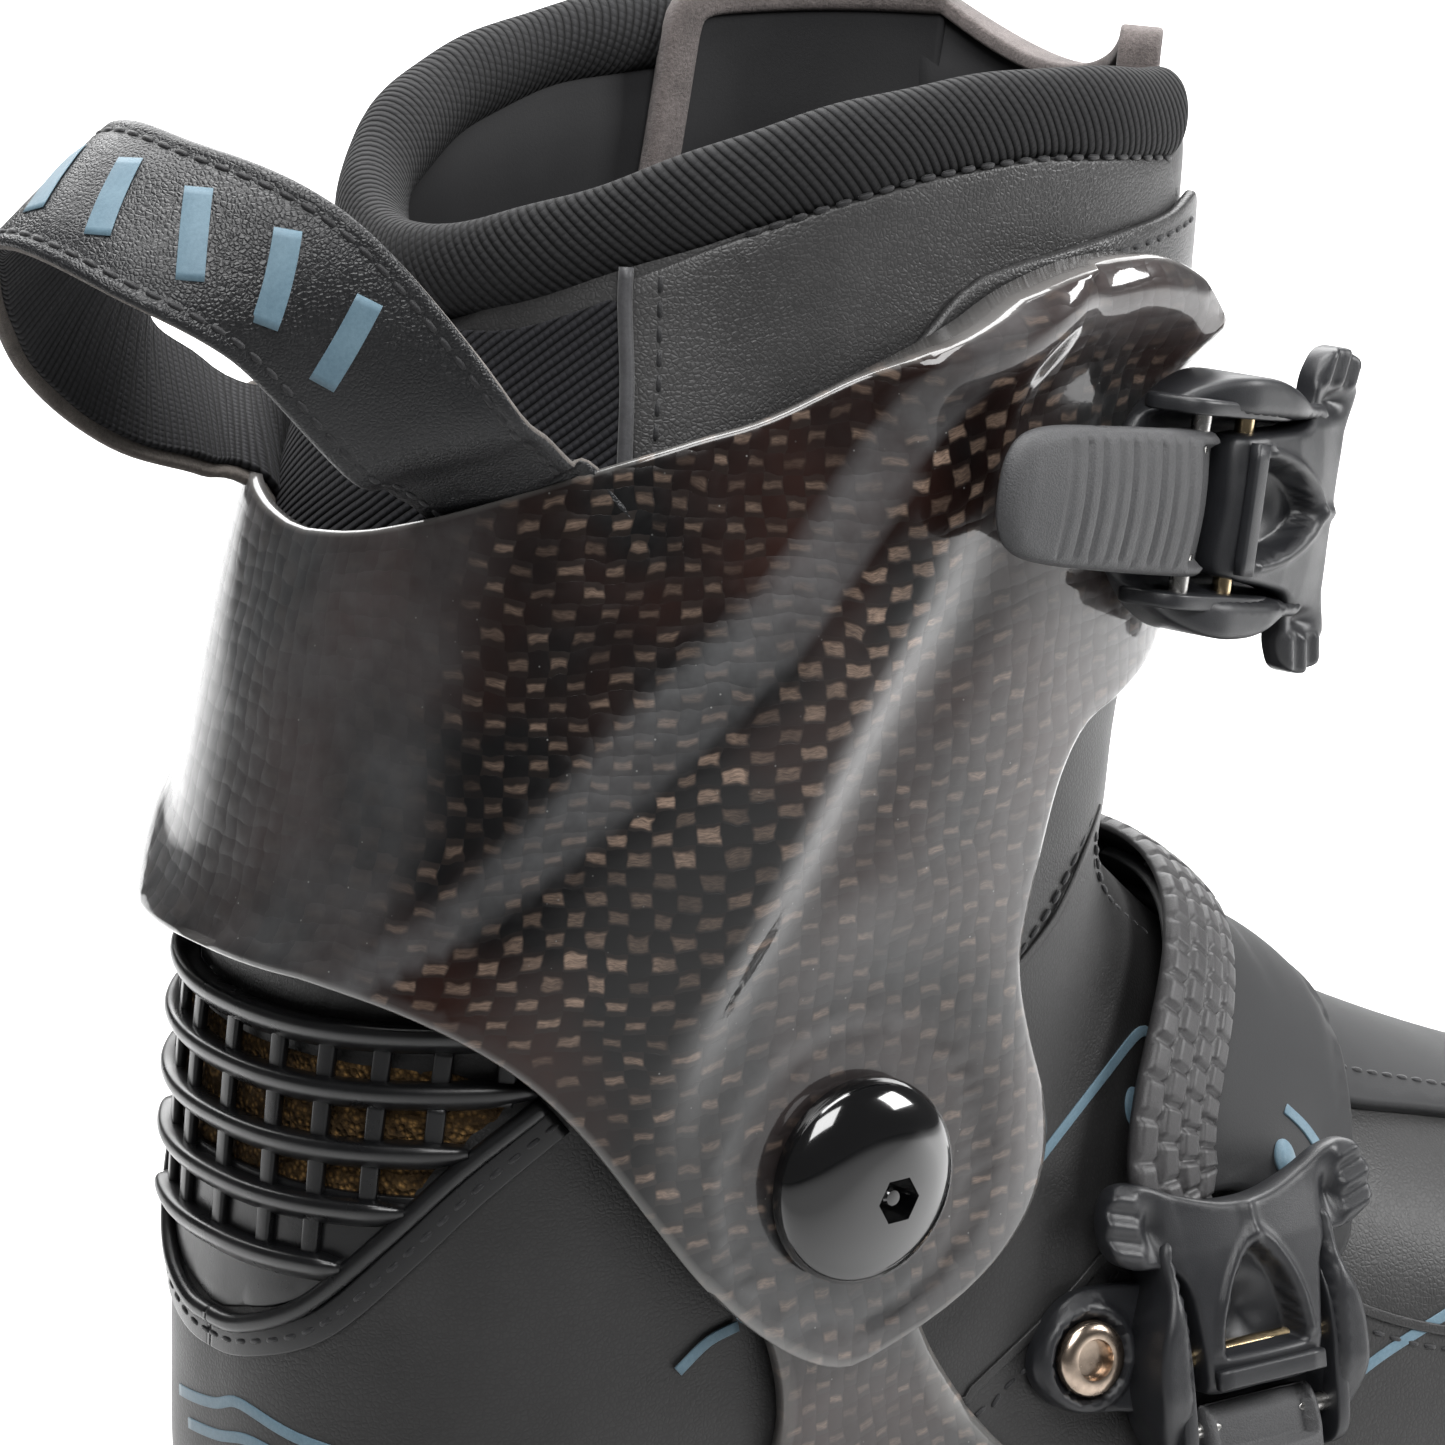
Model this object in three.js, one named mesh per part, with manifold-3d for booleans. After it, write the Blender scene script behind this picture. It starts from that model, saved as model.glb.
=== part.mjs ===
// Cross country roller-ski boot, right foot: soft boot on a carbon chassis with a hinged carbon cuff.
// Millimetres. +X points to the toe, +Y to the inner (medial) side, +Z up. The origin is on the ground
// plane, straight below the ankle pivot.
import * as THREE from 'three';
import { mergeVertices } from 'three/addons/utils/BufferGeometryUtils.js';
import Module from 'manifold-3d';

const wasm = await Module();
wasm.setup();

// ---------------------------------------------------------------- driving dimensions
const PIVOT_Z = 88; // ankle pivot axis, parallel to Y, at x = 0
const GAP = 0.4; // air between layers that lie on each other
const PIN_CLEARANCE = 0.3; // air round a pin or a bush
const FAR = 400; // half length of a cutting block

const UPPER_THICKNESS = 3.5;
const LINER_OUTER = -3.9;
const LINER_INNER = -5.6;
const TONGUE_INNER = -8.5;
const OVERLAY_OUTER = 2.2;
const CHASSIS_OUTER = 2.7;
const CUFF_INNER = 3.3;
const CUFF_OUTER = 5.3;

// soft ankle zones, as angles round the pivot from +X, in degrees
const FRONT_ZONE = [17.5, 38.5];
const REAR_ZONE = [150, 166.5];
const ZONE_GAP = 0.5;
const VENT_TOP_ANGLE = 158;
const SIDE_DISC_RADIUS = 30;
const SIDE_HOLE_RADIUS = 32;

// pivot hardware
const LOBE_RADIUS = 31;
const LOBE_INNER_Y = 40.4;
const LOBE_OUTER_Y = 42.8;
const ARM_FACE_Y = 39.9;
const CAP_RADIUS = 11.5;
const CAP_WALL = 3;
const CAP_DOME = 2.2;
const BOLT_RADIUS = 4.5;
const BUSH_INNER = 4.8;
const BUSH_OUTER = 6;
const LOBE_HOLE = 6.3;
const PAD_RADIUS = 17;
const NUT_RADIUS = 8;
const NUT_POCKET = 8.6;
const NUT_SPAN = [33.9, 36.1];

// sole
const SOLE_TOP = 20;
const GROOVE_Y = 13;
const GROOVE_WIDTH = 6;
const GROOVE_DEPTH = 3.5;
const TOE_BAR = { x: 221, z: 6, radius: 2, half: 15 };

// ---------------------------------------------------------------- outer surface of the soft upper
// Each row is one section, fanned round the instep from the collar rim to the toe: the point at the back
// or bottom (x, z), the point at the front or top (x, z), half width, centre y, and the superellipse
// exponents near the first and the second point.
const SECTIONS = [
  [-28.5, 206, 70, 220, 39, 0, 2.2, 2.4],
  [-34, 187, 68, 201, 39.5, 0, 2.2, 2.4],
  [-38.5, 172, 66.5, 186, 40.5, 0, 2.2, 2.4],
  [-45, 152, 64, 166, 41.5, 0, 2.2, 2.5],
  [-50, 132, 60, 143, 41.5, 0, 2.2, 2.5],
  [-55, 110, 57, 122, 40, 0, 2.3, 2.5],
  [-58, 86, 59, 112, 38, 0, 2.4, 2.4],
  [-60, 62, 65, 105, 36.5, 0, 2.4, 2.3],
  [-59, 40, 74, 98, 36, 0, 2.6, 2.2],
  [-50, 21, 84, 91, 36, 0, 3, 2.2],
  [-18, 17, 96, 83, 37, 0, 3.4, 2.1],
  [22, 15, 110, 76, 39.5, 0, 3.6, 2.1],
  [62, 13, 126, 69, 42.5, 0, 3.6, 2.1],
  [101, 12, 144, 62, 46, 1, 3.6, 2.1],
  [136, 12, 163, 56, 48, 2, 3.5, 2.1],
  [166, 13, 184, 51, 47, 4, 3.3, 2.2],
  [193, 15, 203, 45, 41, 6, 3, 2.3],
  [214, 18, 219, 38, 31, 8, 2.6, 2.4],
  [226, 21, 228, 32, 18, 9, 2.2, 2.2],
];
const LAST = SECTIONS.length - 1;
const SEGMENTS = 24;
const TOE_BULGE = 2.5;

const degrees = THREE.MathUtils.degToRad;

function section(t) {
  const clamped = THREE.MathUtils.clamp(t, 0, LAST - 1e-9);
  const i = Math.floor(clamped);
  const f = clamped - i;
  const row = (k) => SECTIONS[THREE.MathUtils.clamp(k, 0, LAST)];
  const [a, b, c, d] = [row(i - 1), row(i), row(i + 1), row(i + 2)];
  return b.map((value, k) => {
    const linear = (c[k] - a[k]) * f;
    const square = (2 * a[k] - 5 * value + 4 * c[k] - d[k]) * f * f;
    const cube = (3 * value - a[k] - 3 * c[k] + d[k]) * f ** 3;
    return value + (linear + square + cube) / 2;
  });
}

// angle 0 is the back or bottom line, PI the front or top line, and 0..PI the inner side
function surfacePoint(t, angle) {
  const [backX, backZ, frontX, frontZ, halfWidth, centreY, backPower, frontPower] = section(t);
  const c = Math.cos(angle);
  const s = Math.sin(angle);
  const power = frontPower + ((backPower - frontPower) * (1 + c)) / 2;
  const along = 0.5 - 0.5 * Math.sign(c) * Math.abs(c) ** (2 / power);
  return new THREE.Vector3(
    backX + (frontX - backX) * along,
    centreY + halfWidth * Math.sign(s) * Math.abs(s) ** (2 / power),
    backZ + (frontZ - backZ) * along,
  );
}

function surfaceNormal(t, angle) {
  const step = 1e-3;
  const before = surfacePoint(Math.max(t - step, 0), angle);
  const after = surfacePoint(Math.min(t + step, LAST), angle);
  const across = surfacePoint(t, angle + step).sub(surfacePoint(t, angle - step));
  return across.cross(after.sub(before)).normalize();
}

function offsetPoint(t, angle, offset) {
  return surfacePoint(t, angle).addScaledVector(surfaceNormal(t, angle), offset);
}

// ---------------------------------------------------------------- solids
function toSolid(geometry) {
  const bare = geometry.clone();
  bare.deleteAttribute('normal');
  bare.deleteAttribute('uv');
  const merged = mergeVertices(bare, 1e-4);
  const vertProperties = new Float32Array(merged.attributes.position.array);
  const triVerts = new Uint32Array(merged.index.array);
  return new wasm.Manifold(new wasm.Mesh({ numProp: 3, vertProperties, triVerts }));
}

function toGeometry(solid) {
  const mesh = solid.getMesh();
  const geometry = new THREE.BufferGeometry();
  geometry.setAttribute('position', new THREE.BufferAttribute(new Float32Array(mesh.vertProperties), 3));
  geometry.setIndex(new THREE.BufferAttribute(new Uint32Array(mesh.triVerts), 1));
  geometry.computeVertexNormals();
  return geometry;
}

// skin through rings of points that all have the same count, closed by a fan at each end
function skinRings(rings, firstTip, lastTip) {
  const count = rings[0].length;
  const points = [...rings.flat(), firstTip, lastTip];
  const faces = [];
  const at = (i, j) => i * count + (j % count);
  for (let i = 0; i + 1 < rings.length; i += 1) {
    for (let j = 0; j < count; j += 1) {
      faces.push(at(i, j), at(i, j + 1), at(i + 1, j + 1));
      faces.push(at(i, j), at(i + 1, j + 1), at(i + 1, j));
    }
  }
  const first = points.length - 2;
  const end = rings.length - 1;
  for (let j = 0; j < count; j += 1) {
    faces.push(first, at(0, j + 1), at(0, j));
    faces.push(first + 1, at(end, j), at(end, j + 1));
  }
  const geometry = new THREE.BufferGeometry().setFromPoints(points);
  geometry.setIndex(faces);
  return geometry;
}

function centreOf(ring) {
  return ring.reduce((sum, p) => sum.add(p), new THREE.Vector3()).divideScalar(ring.length);
}

// everything inside the boot's surface moved outwards by offset, between two whole section numbers
function inside(offset, from = 0, to = LAST) {
  const steps = Math.round(to - from);
  const rings = [];
  for (let i = 0; i <= steps; i += 1) {
    const t = from + ((to - from) * i) / steps;
    const ring = [];
    for (let j = 0; j < SEGMENTS; j += 1) {
      ring.push(offsetPoint(t, (2 * Math.PI * j) / SEGMENTS, offset));
    }
    rings.push(ring);
  }
  const tip = centreOf(rings.at(-1));
  if (to === LAST) {
    tip.x += TOE_BULGE + offset;
  }
  return toSolid(skinRings(rings, centreOf(rings[0]), tip));
}

function shell(outer, inner, from = 0, to = LAST) {
  return inside(outer, from, to).subtract(inside(inner, from, to));
}

const vectors = (points) => points.map(([x, z]) => new THREE.Vector2(x, z));

// side-view outline (x, z) made into a block between two y values
function sideBlock(points, yLow = -FAR, yHigh = FAR) {
  const shape = new THREE.Shape(vectors(points));
  const geometry = new THREE.ExtrudeGeometry(shape, { depth: yHigh - yLow, bevelEnabled: false });
  geometry.rotateX(Math.PI / 2);
  geometry.translate(0, yHigh, 0);
  return toSolid(geometry);
}

// plan-view outline (x, y) made into a block between two z values
function planBlock(points, zLow, zHigh) {
  const shape = new THREE.Shape(vectors(points));
  const geometry = new THREE.ExtrudeGeometry(shape, { depth: zHigh - zLow, bevelEnabled: false });
  geometry.translate(0, 0, zLow);
  return toSolid(geometry);
}

function smooth(points, divisions) {
  const curve = new THREE.CatmullRomCurve3(
    points.map(([x, z]) => new THREE.Vector3(x, z, 0)), true, 'centripetal');
  return curve.getPoints(divisions).slice(0, -1).map((p) => [p.x, p.y]);
}

function rod(radius, length, x, y, z, axis = 'y', sides = 24) {
  const geometry = new THREE.CylinderGeometry(radius, radius, length, sides);
  if (axis === 'x') {
    geometry.rotateZ(Math.PI / 2);
  }
  if (axis === 'z') {
    geometry.rotateX(Math.PI / 2);
  }
  geometry.translate(x, y, z);
  return toSolid(geometry);
}

// cutting block between pairs of x, y and z values; a direction that is left out has no limit
function block({ x = [-FAR, FAR], y = [-FAR, FAR], z = [-FAR, FAR] }) {
  const geometry = new THREE.BoxGeometry(x[1] - x[0], y[1] - y[0], z[1] - z[0]);
  geometry.translate((x[0] + x[1]) / 2, (y[0] + y[1]) / 2, (z[0] + z[1]) / 2);
  return toSolid(geometry);
}

// pie slice of the side view between two angles round the pivot
function wedge(fromAngle, toAngle, reach = 260) {
  const points = [[0, PIVOT_Z]];
  const steps = Math.max(1, Math.ceil((toAngle - fromAngle) / 40));
  for (let i = 0; i <= steps; i += 1) {
    const angle = degrees(fromAngle + ((toAngle - fromAngle) * i) / steps);
    points.push([reach * Math.cos(angle), PIVOT_Z + reach * Math.sin(angle)]);
  }
  return sideBlock(points);
}

const pivotRod = (radius, sides = 24) => rod(radius, 2 * FAR, 0, 0, PIVOT_Z, 'y', sides);

// flat-sided band that follows a list of stations {at, across}; across is its width direction, and lift
// moves it off the line of stations, to the left of its travel
function band(stations, width, thickness, lift, steps) {
  const centre = new THREE.CatmullRomCurve3(stations.map((s) => new THREE.Vector3(...s.at)));
  const across = new THREE.CatmullRomCurve3(stations.map((s) => new THREE.Vector3(...s.across)));
  const rings = [];
  for (let i = 0; i <= steps; i += 1) {
    const u = i / steps;
    const point = centre.getPoint(u);
    const along = centre.getTangent(u);
    const side = across.getPoint(u);
    side.addScaledVector(along, -side.dot(along)).normalize().multiplyScalar(width / 2);
    const out = along.clone().cross(side).normalize();
    point.addScaledVector(out, lift);
    const corner = (a, b) => point.clone().addScaledVector(side, a).addScaledVector(out, (b * thickness) / 2);
    rings.push([corner(-1, -1), corner(1, -1), corner(1, 1), corner(-1, 1)]);
  }
  return skinRings(rings, centreOf(rings[0]), centreOf(rings.at(-1)));
}

// ---------------------------------------------------------------- colours
const finish = (color, roughness, metalness = 0) => ({ color, roughness, metalness });
const CARBON = finish(0x14110f, 0.2, 0.1);
const LEATHER = finish(0x17181a, 0.55);
const SYNTHETIC = finish(0x1b1c1e, 0.6);
const TWILL = finish(0x0d0d0e, 0.9);
const FOAM = finish(0x8a6a3c, 0.95);
const TPU = finish(0x101113, 0.4);
const NYLON = finish(0x202226, 0.5);
const RUBBER = finish(0x111112, 0.8);
const STEEL = finish(0x9a9a98, 0.3, 1);
const BLACK_METAL = finish(0x0b0b0c, 0.15, 0.6);
const BRONZE = finish(0x8a7458, 0.35, 1);
const BOARD = finish(0x3a3a38, 0.85);

const boot = new THREE.Group();

function addGeometry(name, geometry, look, parent = boot) {
  const mesh = new THREE.Mesh(geometry, new THREE.MeshStandardMaterial(look));
  mesh.name = name;
  parent.add(mesh);
  return mesh;
}

function addSolid(name, solid, look, parent = boot) {
  return addGeometry(name, toGeometry(solid), look, parent);
}

// ---------------------------------------------------------------- zones of the soft boot
const FRONT_CUT = wedge(FRONT_ZONE[0], 180);
const ABOVE_REAR = wedge(0, REAR_ZONE[1]);
const SHAFT_ZONE = wedge(FRONT_ZONE[1], REAR_ZONE[0]).subtract(pivotRod(SIDE_HOLE_RADIUS));
const MOVING_ZONE = FRONT_CUT.intersect(ABOVE_REAR).subtract(pivotRod(SIDE_DISC_RADIUS));

// the upper stays below the cuff lobe, which turns flat beside it
const LOBE_CLEARANCE = pivotRod(SIDE_HOLE_RADIUS).subtract(block({ y: [-ARM_FACE_Y, ARM_FACE_Y] }));

// front opening that the tongue shows through, under the lace cover
const THROAT_HALF = 11;
const THROAT_X = [40, 150];
const THROAT = block({ x: THROAT_X, y: [-THROAT_HALF, THROAT_HALF], z: [50, 240] });

// windows of the heel vent, and the seat in the upper that holds the foam behind them
const VENT_WINDOWS = { low: 79, rise: 7.2, rows: 3, height: 4, width: 7, columns: [-25, -15, -5, 5, 15, 25] };
const FOAM_SEAT = { front: -38, half: 30, low: 77, high: 105, foamHigh: 100, skin: 0.3 };

function ventCut(yCentre, row) {
  const { low, rise, height, width } = VENT_WINDOWS;
  const z = low + rise * row;
  return block({ x: [-80, -30], y: [yCentre - width / 2, yCentre + width / 2], z: [z, z + height] });
}

function addUpper() {
  const { front, half, low, high, foamHigh, skin } = FOAM_SEAT;
  const body = shell(0, -UPPER_THICKNESS, 4)
    .subtract(MOVING_ZONE)
    .subtract(LOBE_CLEARANCE)
    .subtract(THROAT)
    .subtract(pivotRod(NUT_POCKET, 12));
  const seat = block({ x: [-FAR, front], y: [-half, half], z: [low, high] });
  addSolid('upper', body.subtract(seat), SYNTHETIC);
  const fill = block({ x: [-FAR, front - GAP], y: [-half + GAP, half - GAP], z: [low + GAP, foamHigh] });
  const foam = shell(-skin, -UPPER_THICKNESS + skin, 4, 9)
    .intersect(fill)
    .subtract(MOVING_ZONE)
    .subtract(wedge(0, REAR_ZONE[1] + ZONE_GAP));
  addSolid('vent_foam', foam, FOAM);
}

function addFlexPanels() {
  const layer = shell(0, -UPPER_THICKNESS, 3, 9).subtract(pivotRod(SIDE_HOLE_RADIUS));
  const front = wedge(FRONT_ZONE[0] + ZONE_GAP, FRONT_ZONE[1] - ZONE_GAP);
  const rear = wedge(REAR_ZONE[0] + ZONE_GAP, REAR_ZONE[1] - ZONE_GAP);
  addSolid('ankle_flex_panel', layer.intersect(front), SYNTHETIC);
  addSolid('achilles_flex_panel', layer.intersect(rear), TWILL);
}

// ---------------------------------------------------------------- collar, liner and tongue
const RIM = [
  [-70, 184], [-38, 184], [-30, 190], [-22, 195], [-8, 201], [10, 205], [28, 206], [50, 203], [90, 199],
];
const ROLL = { height: 5.5, bulge: 1.5, frontX: 56, frontHalf: 14 };
const COLLAR_FRONT = { x: 40, half: 9 };
const LINER = { drop: 2, frontX: 26, bottomZ: 110 };

function belowRim(drop) {
  const line = RIM.map(([x, z]) => [x, z - drop]);
  return sideBlock([...line, [90, 0], [-70, 0]]);
}

function addCollar() {
  const front = block({ x: [COLLAR_FRONT.x, FAR], y: [-COLLAR_FRONT.half, COLLAR_FRONT.half] });
  const collar = shell(0, -UPPER_THICKNESS, 0, 7)
    .intersect(SHAFT_ZONE.intersect(belowRim(0)))
    .subtract(front);
  addSolid('collar', collar, LEATHER);
  const rollZone = belowRim(-ROLL.height).subtract(belowRim(-GAP));
  const rollFront = block({ x: [ROLL.frontX, FAR], y: [-ROLL.frontHalf, ROLL.frontHalf] });
  const roll = shell(ROLL.bulge, -UPPER_THICKNESS, 0, 4).intersect(rollZone).subtract(rollFront);
  addSolid('collar_roll', roll, TWILL);
  const liner = shell(LINER_OUTER, LINER_INNER, 0, 8)
    .intersect(SHAFT_ZONE)
    .intersect(belowRim(LINER.drop))
    .intersect(block({ x: [-FAR, LINER.frontX], z: [LINER.bottomZ, FAR] }));
  addSolid('shaft_liner', liner, TWILL);
}

const TONGUE = { half: 27, backX: 30, baseX: 40, topZ: 212, dipRadius: 34, dipZ: 237 };

function addTongue() {
  const { half, backX, baseX, topZ, dipRadius, dipZ } = TONGUE;
  const strip = block({ x: [backX, 160], y: [-half, half], z: [40, topZ] });
  const layer = shell(LINER_OUTER, TONGUE_INNER, 0, 14).intersect(strip);
  const dip = rod(dipRadius, FAR, 0, 0, dipZ, 'x', 32);
  const shaft = layer.intersect(wedge(FRONT_ZONE[1], 90)).subtract(dip);
  addSolid('tongue_shaft', shaft, SYNTHETIC);
  const flexZone = wedge(FRONT_ZONE[0] + ZONE_GAP, FRONT_ZONE[1] - ZONE_GAP);
  addSolid('tongue_flex_panel', layer.intersect(flexZone), SYNTHETIC);
  const baseZone = wedge(-60, FRONT_ZONE[0]).intersect(block({ x: [baseX, THROAT_X[1]] }));
  addSolid('tongue_base', layer.intersect(baseZone), SYNTHETIC);
}

// ---------------------------------------------------------------- closure over the instep
const LACES = { rows: 5, firstX: 84, pitch: 13, width: 5, outer: -0.6, inner: -2.6 };

function addLaces() {
  const { rows, firstX, pitch, width, outer, inner } = LACES;
  const half = THROAT_HALF - GAP;
  const layer = shell(outer, inner, 8, 14).intersect(block({ y: [-half, half], z: [50, FAR] }));
  for (let i = 0; i < rows; i += 1) {
    const x = firstX + i * pitch;
    addSolid(`lace_${i + 1}`, layer.intersect(block({ x: [x, x + width] })), TWILL);
  }
}

const LACE_COVER = {
  outer: 1.8,
  plan: [
    [74, 0], [78, 22], [100, 25], [130, 22], [158, 14], [164, 0], [158, -14], [130, -22], [100, -25],
    [78, -22],
  ],
};

function addLaceCover() {
  const cover = shell(LACE_COVER.outer, GAP, 7, 15)
    .intersect(planBlock(smooth(LACE_COVER.plan, 20), 45, 120))
    .subtract(FRONT_CUT);
  addSolid('lace_cover', cover, SYNTHETIC);
}

// The pad carries the ladder strap over the instep. The strap starts above the buckle.
const INSTEP = {
  pad: {
    outer: 4.2,
    inner: 2.4,
    side: [
      [50, 76], [54, 73], [64, 72], [76, 63], [86, 76], [98, 90], [90, 100], [78, 106], [68, 107], [58, 98],
    ],
  },
  strap: {
    outer: 6.6,
    inner: 4.6,
    side: [[43, 40], [60, 40], [60, 70], [86, 91], [78, 103], [46, 76]],
    lateralY: -15,
    startZ: 78,
  },
};

function addInstepStrap() {
  const { pad, strap } = INSTEP;
  const padZone = sideBlock(smooth(pad.side, 20));
  const padLayer = shell(pad.outer, pad.inner, 6, 12).subtract(FRONT_CUT);
  addSolid('instep_pad', padLayer.intersect(padZone), SYNTHETIC);
  const ladder = shell(strap.outer, strap.inner, 6, 12)
    .intersect(sideBlock(strap.side))
    .subtract(FRONT_CUT)
    .subtract(block({ y: [-FAR, strap.lateralY], z: [-FAR, strap.startZ] }));
  addSolid('instep_strap', ladder, NYLON);
}

// ---------------------------------------------------------------- overlays
const VENT_SIDE = [
  [-70, 71], [-59, 71], [-50, 82], [-40, 92], [-34, 101], [-38, 106], [-46, 110], [-56, 110.5], [-70, 110.5],
];
const VENT_HALF = 33;
const TOE_CAP_SIDE = [[178, 0], [178, 30], [190, 48], [196, 60], [240, 60], [240, 0]];
const SHIN_OVERLAY = {
  side: [[8, 178], [15, 188.5], [22, 190.6], [37, 192], [80, 193], [80, 150], [40, 144], [20, 150]],
  frontX: 54,
  frontHalf: 22,
};

function addOverlays() {
  let frame = shell(OVERLAY_OUTER, GAP, 4, 9)
    .intersect(sideBlock(smooth(VENT_SIDE, 24)))
    .intersect(block({ x: [-FAR, -30], y: [-VENT_HALF, VENT_HALF] }))
    .subtract(wedge(0, VENT_TOP_ANGLE));
  for (let row = 0; row < VENT_WINDOWS.rows; row += 1) {
    for (const y of VENT_WINDOWS.columns) {
      frame = frame.subtract(ventCut(y, row));
    }
  }
  addSolid('heel_vent', frame, TPU);
  addSolid('toe_cap', shell(OVERLAY_OUTER, GAP, 13).intersect(sideBlock(TOE_CAP_SIDE)), TPU);
  const { side, frontX, frontHalf } = SHIN_OVERLAY;
  const panel = shell(OVERLAY_OUTER, GAP, 0, 6)
    .intersect(sideBlock(side))
    .subtract(block({ x: [frontX, FAR], y: [-frontHalf, frontHalf] }));
  addSolid('shin_overlay_lateral', panel.intersect(block({ y: [-FAR, -5] })), LEATHER);
  addSolid('shin_overlay_medial', panel.intersect(block({ y: [5, FAR] })), LEATHER);
}

// ---------------------------------------------------------------- carbon chassis and cuff
const CHASSIS_OUTLINE = [[-80, 46], [-40, 44], [-20, 45], [-8, 50], [-5, 60], [-13, 84], [13, 84], [18, 62],
  [23, 50], [40, 38], [70, 30], [110, 26], [128, 18], [132, -10], [-80, -10]];

const ARM_RADIUS = 14;

function addChassis() {
  const arm = sideBlock(CHASSIS_OUTLINE).add(pivotRod(ARM_RADIUS, 20));
  const body = shell(CHASSIS_OUTER, GAP, 4, 15)
    .intersect(arm)
    .subtract(LOBE_CLEARANCE)
    .subtract(pivotRod(BUSH_OUTER + PIN_CLEARANCE, 16));
  addSolid('chassis', body, CARBON);
}

const CUFF_OUTLINE = [
  [-80, 160], [-46, 160.5], [-40, 167], [-28, 173], [-8, 179], [8, 184], [16, 188], [26, 190.5],
  [40, 190.5], [52, 185], [54, 160], [50, 143], [41, 139], [33, 137], [28, 131], [25.5, 120], [24, 110],
  [26, 100], [29, 92], [29.5, 84], [26, 78], [20, 73], [12, 69], [4, 66.5], [-2, 65], [-8, 67.5],
  [-16, 74], [-22, 81], [-28, 89], [-34, 98], [-39, 104], [-45, 109], [-52, 114], [-60, 116], [-80, 116],
];
const CUFF_FRONT = { x: 40, half: 20 }; // open front, closed by the strap

function addCuff() {
  const outline = sideBlock(CUFF_OUTLINE);
  const behindLobe = block({ y: [-LOBE_INNER_Y, LOBE_INNER_Y], z: [0, FAR] });
  const upToPad = block({ y: [-LOBE_OUTER_Y, LOBE_OUTER_Y], z: [0, FAR] });
  const pads = outline.intersect(pivotRod(LOBE_RADIUS)).intersect(upToPad).subtract(behindLobe);
  const wall = shell(CUFF_OUTER, CUFF_INNER, 0, 8)
    .intersect(outline)
    .subtract(block({ x: [CUFF_FRONT.x, FAR], y: [-CUFF_FRONT.half, CUFF_FRONT.half] }))
    .subtract(pivotRod(LOBE_RADIUS + GAP).intersect(behindLobe));
  const padFace = pivotRod(PAD_RADIUS).subtract(upToPad);
  addSolid('cuff', wall.add(pads).subtract(padFace).subtract(pivotRod(LOBE_HOLE, 16)), CARBON);
}

// ---------------------------------------------------------------- pivots
const LATHE_STEPS = 16;
const CAP_SKIRT = 0.4; // rounding of the cap's edge
const BOLT_DEPTH = 8;
const SOCKET = { radius: 1.9, length: 6 };
const BUSH = { length: 5.6, y: 40 };

function lathe(profile, steps) {
  return new THREE.LatheGeometry(profile.map(([r, h]) => new THREE.Vector2(r, h)), steps);
}

function capGeometry() {
  const profile = [
    [0, -BOLT_DEPTH], [BOLT_RADIUS, -BOLT_DEPTH], [BOLT_RADIUS, 0], [CAP_RADIUS, 0],
    [CAP_RADIUS, CAP_WALL - CAP_SKIRT], [CAP_RADIUS - CAP_SKIRT, CAP_WALL], [9, CAP_WALL + CAP_DOME * 0.35],
    [5, CAP_WALL + CAP_DOME * 0.8], [0, CAP_WALL + CAP_DOME],
  ];
  return lathe(profile, LATHE_STEPS);
}

function ringGeometry(inner, outer, length) {
  const half = length / 2;
  return lathe([[inner, -half], [outer, -half], [outer, half], [inner, half], [inner, -half]], LATHE_STEPS);
}

function addPivot(side, sign) {
  // local +Y points out of the boot on either side
  const place = new THREE.Group();
  place.position.set(0, 0, PIVOT_Z);
  place.rotation.x = sign < 0 ? Math.PI : 0;
  boot.add(place);
  const socket = rod(SOCKET.radius, SOCKET.length, 0, CAP_WALL + CAP_DOME, 0, 'y', 6);
  const bolt = toSolid(capGeometry()).subtract(socket);
  addSolid(`pivot_bolt_${side}`, bolt, BLACK_METAL, place).position.y = LOBE_OUTER_Y + GAP;
  const bushShape = ringGeometry(BUSH_INNER, BUSH_OUTER, BUSH.length);
  const bush = addGeometry(`pivot_bush_${side}`, bushShape, STEEL, place);
  bush.position.y = BUSH.y;
  const nutShape = ringGeometry(BUSH_INNER, NUT_RADIUS, NUT_SPAN[1] - NUT_SPAN[0]);
  const nut = addGeometry(`pivot_nut_${side}`, nutShape, STEEL, place);
  nut.position.y = (NUT_SPAN[0] + NUT_SPAN[1]) / 2;
}

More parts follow.
